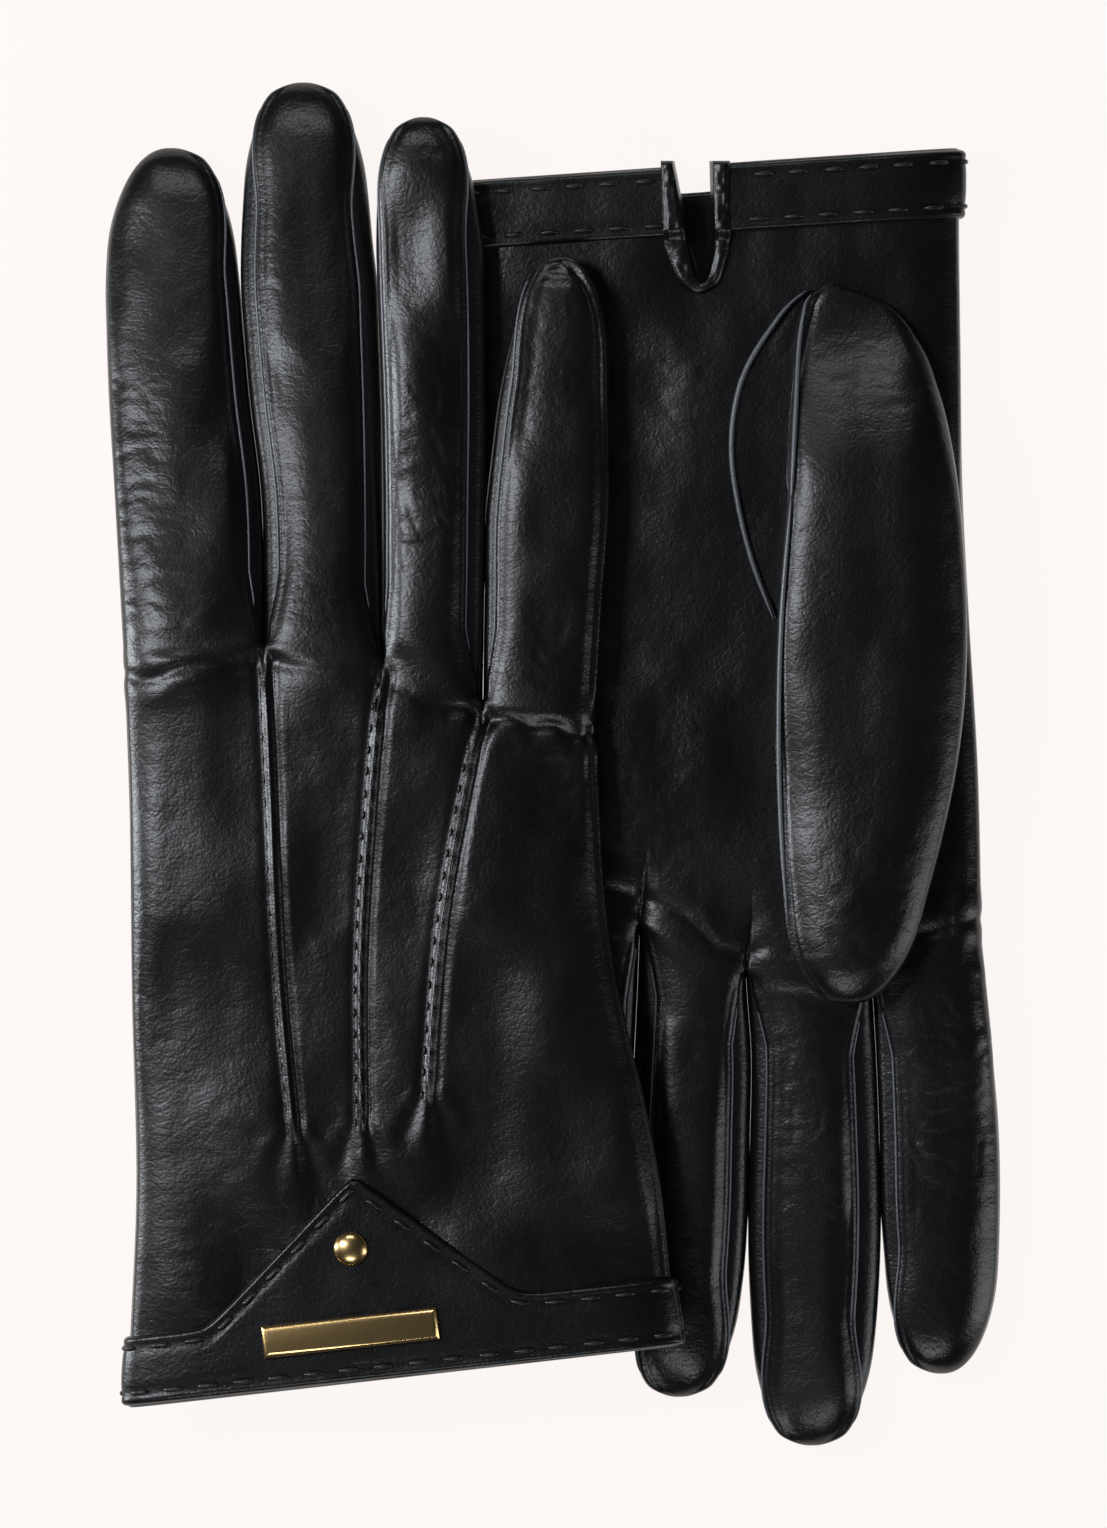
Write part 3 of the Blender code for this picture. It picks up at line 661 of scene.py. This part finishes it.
def resample(path, step):
    """Points at equal steps along a path."""
    path = np.asarray(path, float)
    lengths = np.concatenate([[0], np.cumsum(np.linalg.norm(np.diff(path, axis=0), axis=1))])
    count = max(2, int(lengths[-1] / step))
    at = np.linspace(0, lengths[-1], count)
    return np.stack([np.interp(at, lengths, path[:, k]) for k in range(3)], 1)


def running_stitches(name, glove, paths, pitch, length, radius):
    """Stitches along paths that lie on the leather, as one piece."""
    step = 0.25
    tubes = []
    for path in paths:
        line = resample(path, step)
        total = step * (len(line) - 1)
        for k in range(int(total / pitch)):
            a = int((k + 0.5 - length / pitch / 2) * pitch / step)
            b = a + int(length / step)
            if b >= len(line):
                continue
            piece = line[a:b + 1:2].copy()
            bow = np.sin(np.linspace(0, math.pi, len(piece)))
            piece[:, 2] += np.sign(piece[:, 2]) * (0.9 * bow ** 0.5 - 0.5) * radius
            tubes.append(capsule(piece, radius))
    return tubes_object(name, glove, tubes)


def welt(name, glove, paths, radius):
    """Thin rolled edges of leather along paths, as one piece."""
    return tubes_object(name, glove, [capsule(resample(path, 0.5), radius, sides=10) for path in paths])


def band_paths(glove):
    """The two rows of stitches round the band."""
    columns = round_the_wrist(glove, 260)[6:-6]
    paths = []
    for upper in (False, True):
        path = []
        for x, side in columns:
            x = np.array(float(x))
            inset = STITCH_INSET * (math.hypot(1, band_slope(x, side)) if upper else 1.0)
            rise = band_rise(x, side) - inset if upper else x * 0 + STITCH_INSET
            y = cuff_edge(glove, x, side) + rise
            path.append(over_hand(glove, beside_vent(float(x), side, rise), y, side, BAND_LIFT - 0.2))
        paths.append(np.array(path))
    return paths


def point_paths(hand):
    """A row of stitches beside each raised line of the back."""
    paths = []
    for k, (_, low) in enumerate(POINTS):
        column = (k + 1) * COLUMNS
        ridge = hand[:, column]
        keep = (ridge[:, 1] > low + 1.0) & (ridge[:, 1] < ridge[-1, 1] - 2.0)
        beside = []
        for row in hand[keep]:
            x = row[column, 0] - 1.05
            y, z = (np.interp(x, row[:, 0], row[:, axis]) for axis in (1, 2))
            beside.append([x, y, z + 0.05])
        paths.append(np.array(beside))
    return paths


# The binding round the slit: share of the way along it, x, and rise of its outer and inner edges
BINDING_OUTER = [
    (0, -20.5, -1.0), (0.2, -20.8, 8), (0.38, -21.7, 17.2), (0.455, -24.1, 22.3), (0.5, -27.4, 24.2),
    (0.545, -30.8, 22.6), (0.62, -33.0, 17.2), (0.8, -33.3, 8), (1, -33.4, -1.0),
]
BINDING_INNER = [
    (0, -23.0, -1.0), (0.2, -24.8, 8), (0.38, -26.6, 17.2), (0.455, -27.7, 20.9), (0.5, -28.3, 21.7),
    (0.545, -28.9, 20.9), (0.62, -29.9, 17.2), (0.8, -29.9, 8), (1, -29.7, -1.0),
]


def binding_surface(glove):
    """The flat leather binding, down one side of the slit and up the other."""
    s = np.linspace(0, 1, 150)[:, None]
    b = 0.5 - 0.5 * np.cos(math.pi * np.linspace(0, 1, 25)[None, :])
    (x0, up0), (x1, up1) = curves(BINDING_OUTER, s), curves(BINDING_INNER, s)
    x = x0 + (x1 - x0) * b
    up = up0 + (up1 - up0) * b
    if glove["back_up"]:
        up = np.maximum(up, 0.2)
    on_band = ease((BAND_HEIGHT + 1.2 - up) / 2.4)
    arch = dome(2 * b - 1, 2.6)
    ends = np.clip(np.minimum(s, 1 - s) / 0.012, 0, 1) ** 0.5
    lift = 0.1 + 1.15 * on_band + 0.95 * arch * ends - 0.5 * (1 - arch)
    lift = lift + 0.12 * noise(s * 34, 4 * b, 5) * arch
    # its inner edge turns down into the slit
    lift = lift - 1.6 * ease((b - 0.86) / 0.14)
    return over_hand(glove, x, wrist_line(glove, VENT_X) + up, -1, lift)


# ---------------------------------------------------------------- wear

def normals_of(grid):
    du = np.gradient(grid, axis=0)
    dv = np.gradient(grid, axis=1)
    n = np.cross(dv, du)
    return n / np.maximum(np.linalg.norm(n, axis=-1, keepdims=True), 1e-9)


def worn(grid, amount, seed):
    """How far soft undulation and fine creases shift each point of a grid."""
    x, y = grid[..., 0], grid[..., 1]
    lift = 0.85 * noise(x / 14, y / 24, seed) + 0.22 * noise(x / 7, y / 9, seed + 5)
    lift = lift + 0.025 * noise(x / 2.6, y / 2.4, seed + 6)
    patch = np.clip(noise(x / 20, y / 24, seed + 9) + 0.15, 0, 1)
    lift = lift + (0.02 + 0.12 * patch) * creases(x, y, seed + 20)
    return lift * amount


def border_fade(grid, distance):
    """0 at the first and last column, 1 further in than distance."""
    width_l = np.linalg.norm(grid - grid[:, :1], axis=-1)
    width_r = np.linalg.norm(grid - grid[:, -1:], axis=-1)
    return ease(np.minimum(width_l, width_r) / distance)


def move(grid, lift, side):
    """A grid shifted along its normals, which point to the side given."""
    n = normals_of(grid)
    n = np.where((n[..., 2:3] * side) < 0, -n, n)
    return grid + n * lift[..., None]


# ---------------------------------------------------------------- materials

def add_node(tree, kind, **settings):
    made = tree.nodes.new(kind)
    for key, value in settings.items():
        if key in made.inputs:
            made.inputs[key].default_value = value
        else:
            setattr(made, key, value)
    return made


def wire(tree, source, output, target, socket):
    tree.links.new(source.outputs[output], target.inputs[socket])


def set_inputs(node, values):
    for key, value in values.items():
        node.inputs[key].default_value = value


def new_material(name):
    made = bpy.data.materials.new(name)
    made.use_nodes = True
    return made, made.node_tree, made.node_tree.nodes["Principled BSDF"]


def stack_bumps(tree, shader, layers):
    """Bumps one on another, from the finest: height, strength, distance."""
    normal = None
    for height, strength, distance in layers:
        bump = add_node(tree, "ShaderNodeBump", Strength=strength, Distance=distance)
        tree.links.new(height, bump.inputs["Height"])
        if normal:
            tree.links.new(normal, bump.inputs["Normal"])
        normal = bump.outputs["Normal"]
    tree.links.new(normal, shader.inputs["Normal"])


def crack_height(tree, where):
    """Fine cracks between irregular cells, more of them across the fingers."""
    stretched = add_node(tree, "ShaderNodeMapping", Scale=(0.75, 1.35, 1.0))
    wire(tree, where, "Object", stretched, "Vector")
    warp = add_node(tree, "ShaderNodeTexNoise", Scale=160.0, Detail=2.0)
    wire(tree, stretched, "Vector", warp, "Vector")
    bent = add_node(tree, "ShaderNodeMix", data_type="RGBA", Factor=0.004)
    wire(tree, stretched, "Vector", bent, "A")
    wire(tree, warp, "Color", bent, "B")
    cells = add_node(tree, "ShaderNodeTexVoronoi", feature="DISTANCE_TO_EDGE", Scale=430.0)
    wire(tree, bent, "Result", cells, "Vector")
    height = add_node(tree, "ShaderNodeMapRange")
    set_inputs(height, {"From Max": 0.14})
    wire(tree, cells, "Distance", height, "Value")
    return height.outputs["Result"]


def leather_material(name, roughness, tone, shine):
    made, tree, shader = new_material(name)
    where = add_node(tree, "ShaderNodeTexCoord")
    pores = add_node(tree, "ShaderNodeTexVoronoi", feature="F1", Scale=1500.0)
    fine = add_node(tree, "ShaderNodeTexNoise", Scale=2600.0, Detail=3.0, Roughness=0.6)
    folds = add_node(tree, "ShaderNodeTexNoise", Scale=420.0, Detail=4.0, Roughness=0.62, Distortion=0.6)
    patch = add_node(tree, "ShaderNodeTexNoise", Scale=45.0, Detail=3.0, Roughness=0.55)
    for texture in (pores, fine, folds, patch):
        wire(tree, where, "Object", texture, "Vector")
    stack_bumps(tree, shader, [
        (pores.outputs["Distance"], 0.21, 0.00010),
        (fine.outputs["Fac"], 0.21, 0.00008),
        (crack_height(tree, where), 0.091, 0.00012),
        (folds.outputs["Fac"], 0.294, 0.00022),
    ])
    # both the tone and the roughness drift from patch to patch
    colour = add_node(tree, "ShaderNodeValToRGB")
    for stop, tint in zip(colour.color_ramp.elements, ((0.6, 0.63, 0.72), (1.4, 1.46, 1.65))):
        stop.color = (*(tone * part for part in tint), 1)
    wire(tree, patch, "Fac", colour, "Fac")
    wire(tree, colour, "Color", shader, "Base Color")
    rough = add_node(tree, "ShaderNodeMapRange")
    set_inputs(rough, {"To Min": roughness - 0.06, "To Max": roughness + 0.08})
    wire(tree, patch, "Fac", rough, "Value")
    wire(tree, rough, "Result", shader, "Roughness")
    set_inputs(shader, {"Specular IOR Level": shine})
    return made


def plain_material(name, colour, roughness, metallic=0.0, weave=1200.0, depth=0.0002, strength=0.5):
    made, tree, shader = new_material(name)
    set_inputs(shader, {"Base Color": (*colour, 1), "Roughness": roughness, "Metallic": metallic})
    where = add_node(tree, "ShaderNodeTexCoord")
    grain = add_node(tree, "ShaderNodeTexNoise", Scale=weave, Detail=3.0)
    wire(tree, where, "Object", grain, "Vector")
    stack_bumps(tree, shader, [(grain.outputs["Fac"], strength, depth)])
    return made


LEATHER = leather_material("glove_leather", roughness=0.30, tone=0.0028, shine=0.5)
# A far lighter leather for the thin welts along the seams and the thumb's fold: painted highlight, for the
# bright lines that the lamps alone don't give them.
PAINTED_HIGHLIGHT_EDGE = leather_material("painted_highlight_edge", roughness=0.40, tone=0.10, shine=0.9)
LINING = plain_material("lining_cloth", (0.012, 0.012, 0.013), 0.85)
GILT = plain_material("gilt", (0.86, 0.58, 0.25), 0.24, metallic=1.0, weave=900.0, depth=0.0001,
                      strength=0.12)
THREAD = plain_material("thread", (0.008, 0.008, 0.009), 0.34, weave=3000.0, depth=0.0001)


def coat(made, material):
    made.data.materials.append(material)
    return made


def dress(made, material, body, slot, *nodes):
    """Coats a piece, fixes it to a body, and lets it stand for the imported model's nodes given."""
    coat(made, material)
    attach(made, body)
    if nodes:
        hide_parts(*nodes)


# ---------------------------------------------------------------- building one glove

def point_lift(grid):
    """The three raised lines on the back, from the crotches towards the cuff."""
    lift = np.zeros(grid.shape[:2])
    y = grid[..., 1]
    for k, (_, low) in enumerate(POINTS):
        column = grid[:, (k + 1) * COLUMNS]
        off = grid[..., 0] - column[:, None, 0]
        along = ease((y - low) / 6.0)
        # the stitches pinch the second and third line
        pinch = 0.0 if k == 0 else 0.22 * (0.5 + 0.5 * np.cos(2 * math.pi * y / POINT_PITCH)) ** 3
        lift += along * (0.95 - pinch) * hump(off + 0.3 * pinch, 0.55)
        lift -= along * 0.45 * hump(off - 1.5, 0.75)
        lift -= along * 0.15 * hump(off + 1.5, 0.8)
        # gathers that fan out below the end of the line
        below = hump(y - low + 3.0, 6.0) * hump(off, 6.0)
        angle = np.arctan2(off, np.abs(y - low - 4.0) + 3.0)
        lift += 0.30 * below * np.cos(angle * 9.0)
    return lift


def side_seam(grid):
    """The seam down the little finger's outer side and the side of the hand."""
    off = np.linalg.norm(grid - grid[:, -1:], axis=-1)
    return 0.55 * hump(off - 2.3, 0.5) - 0.3 * hump(off - 3.5, 0.6)


def add_hand(glove, skin):
    """Adds the back and the palm, and returns the back's grid."""
    name = glove["name"]
    seed = glove["seed"]
    grids = {}
    for side, part in ((1, "back"), (-1, "palm")):
        hand = hand_surface(glove, side)
        x, y = hand[..., 0], hand[..., 1]
        lift = worn(hand, 0.9, seed + side) * border_fade(hand, 6.0)
        if side > 0:
            lift = lift + point_lift(hand) + side_seam(hand)
        else:
            # the palm lies smooth round the thumb
            off = ((x + 46) / 18) ** 2 + ((y + 58) / 38) ** 2
            lift = lift * (1 - 0.75 * np.exp(-off))
        below = y[-1:] - y
        # the crease where the fingers fold from the hand
        wander = 4.6 + 2.6 * noise(x / 11, 0, seed) + 1.0 * noise(x / 4, 3, seed)
        depth = 0.30 + 0.22 * noise(x / 14, 7, seed)
        fold = hump(below - wander, 1.1) - 0.5 * hump(below - wander - 3.2, 2.4)
        lift = lift - depth * fold
        top = ease(below / 3.0)
        grids[part] = move(hand, lift * top, side)
        skin.add(f"{name}_hand_{part}_skin", grids[part], -side)
    return grids["back"]


def add_fingers(glove, skin):
    name = glove["name"]
    seed = glove["seed"]
    for order, (key, finger) in enumerate(glove["fingers"].items()):
        seams = []
        for side in (1, -1):
            grid = finger_surface(glove, key, side)
            ridge = seam_ridge(grid, finger)
            if side > 0 and key == "little":
                ridge = ridge + side_seam(grid)
            low = ease((grid[..., 1] - grid[:1, :, 1]) / 5.0)
            tip = ease((finger["tip"] - grid[..., 1]) / 3.0)
            lift = worn(grid, 0.9, seed + 100 * order + side) * border_fade(grid, 3.5)
            grid = move(grid, (lift + ridge) * low * tip, side)
            skin.add(f"{name}_{key}_skin", grid, -side)
            seams += seam_lines(finger, grid, side)
        # the seams' welts get the lighter leather, a painted highlight along each seam
        made = coat(welt(f"{name}_{key}_seams", glove, seams, 0.27), PAINTED_HIGHLIGHT_EDGE)
        bend_finger(glove, made, f"{key}_seams")
        for side in (0, 1):
            if finger["strips"][side]:
                neighbour = list(glove["fingers"])[order + (1 if side else -1)]
                strip = finger_strip(glove, key, side)
                skin.add(f"{name}_{key}_strip_{neighbour}_side", strip, -1 if side else 1)


def seam_lines(finger, grid, side):
    """The rolled edges of a finger's leather along its fourchettes; both ends sink into the leather."""
    lines = []
    for column, wide in ((0, finger["strips"][0]), (-1, finger["strips"][1])):
        if wide:
            line = grid[6:-9, column] + [0, 0, 0.08 * side]
            inward = grid[6:-9, COLUMNS // 2] - line
            inward /= np.linalg.norm(inward, axis=1)[:, None]
            steps = np.minimum(np.arange(len(line)), np.arange(len(line))[::-1])
            lines.append(line + inward * (1.3 * (1 - ease(steps / 7.0)))[:, None])
    return lines


def add_thumb(glove, skin):
    name = glove["name"]
    seed = glove["thumb_seed"]
    for side in (1, -1):
        grid, joint = thumb_surface(glove, side)
        lift = worn(grid, 0.8, seed + side) * border_fade(grid, 4.0)
        if side < 0:
            off = np.linalg.norm(grid - grid[:, -1:], axis=-1)
            lift = lift + 0.5 * hump(off - 1.0, 0.45) - 0.3 * hump(off - 2.2, 0.6)
        crown = ease((THUMB_END - grid[..., 1]) / 5.0) * ease((grid[..., 1] - THUMB_START) / 5.0)
        grid = move(grid, lift * crown, side)
        skin.add(f"{name}_thumb_base_skin", grid[:joint + 1], side)
        skin.add(f"{name}_thumb_skin", grid[joint:], side)


def glove_skin(glove):
    """All the pieces of leather of hand, fingers and thumb, and the back's grid."""
    skin = Skin(glove)
    back = add_hand(glove, skin)
    add_fingers(glove, skin)
    thumb = Skin(glove)
    add_thumb(glove, thumb)
    return {**skin.build(), **thumb.build()}, back


def lone_skin(glove, name, grid, outward):
    skin = Skin(glove)
    skin.add(name, grid, outward)
    return skin.build()[name]


def dress_welts(glove):
    """The gusset's edge, and the fold along the thumb's inner edge in two pieces, on hand and thumb."""
    name = glove["name"]
    hand = f"{name}_hand"
    y = np.linspace(*GUSSET_SPAN, 80)
    edge = np.stack([curve(GUSSET_EDGE, y), y, 0 * y - HALF - 0.45], 1)
    # these welts get the lighter leather, a painted highlight along the gusset's edge and the thumb's fold
    dress(welt(f"{name}_gusset_welt", glove, [edge], 0.5), PAINTED_HIGHLIGHT_EDGE, hand, "glove_leather")
    grid, joint = thumb_surface(glove, -1)
    line = grid[:, -4] + [0.25, 0, -0.15]
    low = line[4:joint + 1]
    # the fold ends before the thumb's round end
    high = line[joint:]
    high = high[high[:, 1] < 30.0]
    dress(welt(f"{name}_thumb_base_welt", glove, [low], 0.45), PAINTED_HIGHLIGHT_EDGE, hand, "glove_leather")
    made = coat(welt(f"{name}_thumb_welt", glove, [high], 0.45), PAINTED_HIGHLIGHT_EDGE)
    blend_thumb(made)


def blend_thumb(made):
    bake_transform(made)


def dress_cuff(glove):
    name = glove["name"]
    for part, grid, outward, material, slot, *nodes in (
        ("band", band_surface(glove), 1, LEATHER, "glove_leather", "cuff_band"),
        ("cuff_lip", lip_surface(glove), -1, LEATHER, "glove_leather"),
        ("lining", lining_surface(glove, 1), 1, LINING, "lining_cloth", "hand_lining"),
        ("lining_palm", lining_surface(glove, -1), -1, LINING, "lining_cloth"),
        ("binding", binding_surface(glove), 1, LEATHER, "binding_leather", "vent_binding"),
        ("gusset", gusset_surface(glove), 1, LEATHER, "glove_leather", "thumb_gusset"),
    ):
        made = lone_skin(glove, f"{name}_{part}", grid, outward)
        dress(made, material, f"{name}_hand", slot, *[f"{name}_{node}" for node in nodes])


def dress_stitches(glove, back):
    name = glove["name"]
    hand = f"{name}_hand"
    rows = running_stitches(f"{name}_band_stitches", glove, band_paths(glove), BAND_PITCH, BAND_STITCH, 0.5)
    dress(rows, THREAD, hand, "thread", f"{name}_band_stitch")
    for k, path in enumerate(point_paths(back)):
        # the first line's thread nearly disappears in its fold
        radius = 0.12 if k == 0 else 0.24
        made = f"{name}_point_stitches_{k + 1}"
        row = running_stitches(made, glove, [path], POINT_PITCH, POINT_STITCH, radius)
        dress(row, THREAD, hand, "thread", f"{name}_point_stitch_{k + 1}")


BADGE_X = -37.8
BADGE_FOOT = 6.3      # the height above the hand's middle where the gilt meets the band
BAR_SIZE = (33.0, 6.0, 1.9)
BAR_RISE = 9.3        # the bar's and the stud's middle above the cuff's edge
STUD_RISE = 25.0
STUD_RADIUS = 3.2
STUD_FLATNESS = 0.42
STUD_FOOT = 1.6


def shape_bar(bm, slope):
    bmesh.ops.create_cube(bm, size=1.0)
    bmesh.ops.scale(bm, vec=BAR_SIZE, verts=bm.verts)
    top = [e for e in bm.edges if all(v.co.z > 0 for v in e.verts)]
    bmesh.ops.bevel(bm, geom=top, offset=1.15, segments=3, profile=0.6, affect="EDGES")
    sides = [e for e in bm.edges if abs(e.verts[0].co.z - e.verts[1].co.z) > 0.3]
    bmesh.ops.bevel(bm, geom=sides, offset=0.12, segments=2, profile=0.5, affect="EDGES")
    bmesh.ops.rotate(bm, verts=bm.verts, matrix=Matrix.Rotation(slope, 3, "Z"))


def shape_stud(bm):
    """A low dome with a short straight foot."""
    bmesh.ops.create_uvsphere(bm, u_segments=48, v_segments=24, radius=STUD_RADIUS)
    low = [v for v in bm.verts if v.co.z < -0.001]
    bmesh.ops.delete(bm, geom=low, context="VERTS")
    rim = [e for e in bm.edges if e.is_boundary]
    made = bmesh.ops.extrude_edge_only(bm, edges=rim)["geom"]
    for v in [g for g in made if isinstance(g, bmesh.types.BMVert)]:
        v.co.z -= STUD_FOOT
    for v in bm.verts:
        if v.co.z > 0:
            v.co.z *= STUD_FLATNESS


def gilt_piece(glove, part):
    name = f"{glove['name']}_gilt_{part}"
    bm = bmesh.new()
    if part == "bar":
        (x0, y0), (x1, y1) = glove["wrist"]
        shape_bar(bm, math.atan2(y1 - y0, x1 - x0))
        rise, middle = BAR_RISE, BADGE_FOOT + BAR_SIZE[2] / 2
    else:
        shape_stud(bm)
        rise, middle = STUD_RISE, BADGE_FOOT + 0.5
    base = wrist_line(glove, BADGE_X) + rise
    points = np.array([v.co[:] for v in bm.verts]) + [BADGE_X, base, middle]
    for v, co in zip(bm.verts, place(glove, points)):
        v.co = co
    bmesh.ops.recalc_face_normals(bm, faces=bm.faces)
    mesh = bpy.data.meshes.new(name)
    bm.to_mesh(mesh)
    bm.free()
    mesh.shade_smooth()
    mesh.set_sharp_from_angle(angle=math.radians(28))
    return link_object(name, mesh)


def dress_badge(glove):
    name = glove["name"]
    for part in ("bar", "stud"):
        dress(gilt_piece(glove, part), GILT, f"{name}_hand", "gilt", f"{name}_badge_{part}")


def dress_glove(glove):
    name = glove["name"]
    pieces, back = glove_skin(glove)
    for piece_name, made in pieces.items():
        part = piece_name.removeprefix(f"{name}_")
        if part in ("hand_back_skin", "hand_palm_skin", "thumb_base_skin"):
            dress(made, LEATHER, f"{name}_hand", "glove_leather", piece_name.removesuffix("_skin"))
            continue
        coat(made, LEATHER)
        if part == "thumb_skin":
            blend_thumb(made)
            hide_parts(f"{name}_thumb_leather", f"{name}_thumb_lining")
        else:
            bend_finger(glove, made, part)
    dress_cuff(glove)
    dress_welts(glove)
    dress_stitches(glove, back)
    dress_badge(glove)


def bend_finger(glove, made, part):
    """Bakes a finger piece's placement into its points, and hides the imported model's parts that it stands
    in for.
    """
    name = glove["name"]
    key = part.split("_")[0]
    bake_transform(made)
    if part.endswith("_skin"):
        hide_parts(f"{name}_{key}_leather", f"{name}_{key}_lining")
    elif "_strip_" in part:
        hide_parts(f"{name}_{key}_fourchette_{part.split('_')[2]}_side")


for glove in (LEFT, RIGHT):
    dress_glove(glove)

# ---------------------------------------------------------------- stage, light and camera

VIEW_HEIGHT = 287.264 * MM    # what the picture's long side covers, at the height of VIEW_PLANE
VIEW_PLANE = 0.02
CAMERA_HEIGHT = 2.2           # above that plane


def make_floor():
    bpy.ops.mesh.primitive_plane_add(size=6, location=(0, 0, -0.0006))
    floor = bpy.context.object
    floor.name = "floor"
    made, _, shader = new_material("floor")
    set_inputs(shader, {
        "Base Color": (0.05, 0.048, 0.046, 1), "Roughness": 0.9, "Specular IOR Level": 0.1,
        "Emission Color": (0.973, 0.925, 0.90, 1), "Emission Strength": 0.98,
    })
    floor.data.materials.append(made)


def softbox(name, location, size, power):
    """A rectangular light aimed at the middle of the pair."""
    light = bpy.data.lights.new(name, "AREA")
    light.shape = "RECTANGLE"
    light.size, light.size_y = size
    light.energy = power
    light.color = (0.92, 0.955, 1.0)
    made = link_object(name, light)
    made.location = location
    made.rotation_euler = (-Vector(location)).to_track_quat("-Z", "Y").to_euler()


make_floor()
softbox("key_left", (-0.55, 0.20, 0.95), (0.16, 0.42), 5.0)
softbox("rim_left", (-1.05, 0.05, 0.24), (0.08, 0.8), 9.5)
softbox("fill_right", (0.9, -0.3, 0.40), (0.25, 0.7), 2.0)
softbox("low", (-0.05, -0.75, 0.95), (0.4, 0.15), 1.8)
softbox("top", (-0.1, 0.85, 0.9), (0.4, 0.15), 1.6)

world = bpy.data.worlds.new("studio")
bpy.context.scene.world = world
world.use_nodes = True
set_inputs(world.node_tree.nodes["Background"], {"Color": (0.012, 0.014, 0.018, 1), "Strength": 1.0})

camera_data = bpy.data.cameras.new("camera")
camera_data.sensor_fit = "VERTICAL"
camera_data.sensor_height = 24
camera_data.lens = camera_data.sensor_height * CAMERA_HEIGHT / VIEW_HEIGHT
camera = link_object("camera", camera_data)
camera.location = (0, 0, CAMERA_HEIGHT + VIEW_PLANE)
bpy.context.scene.camera = camera
bpy.context.scene.view_settings.view_transform = "Standard"
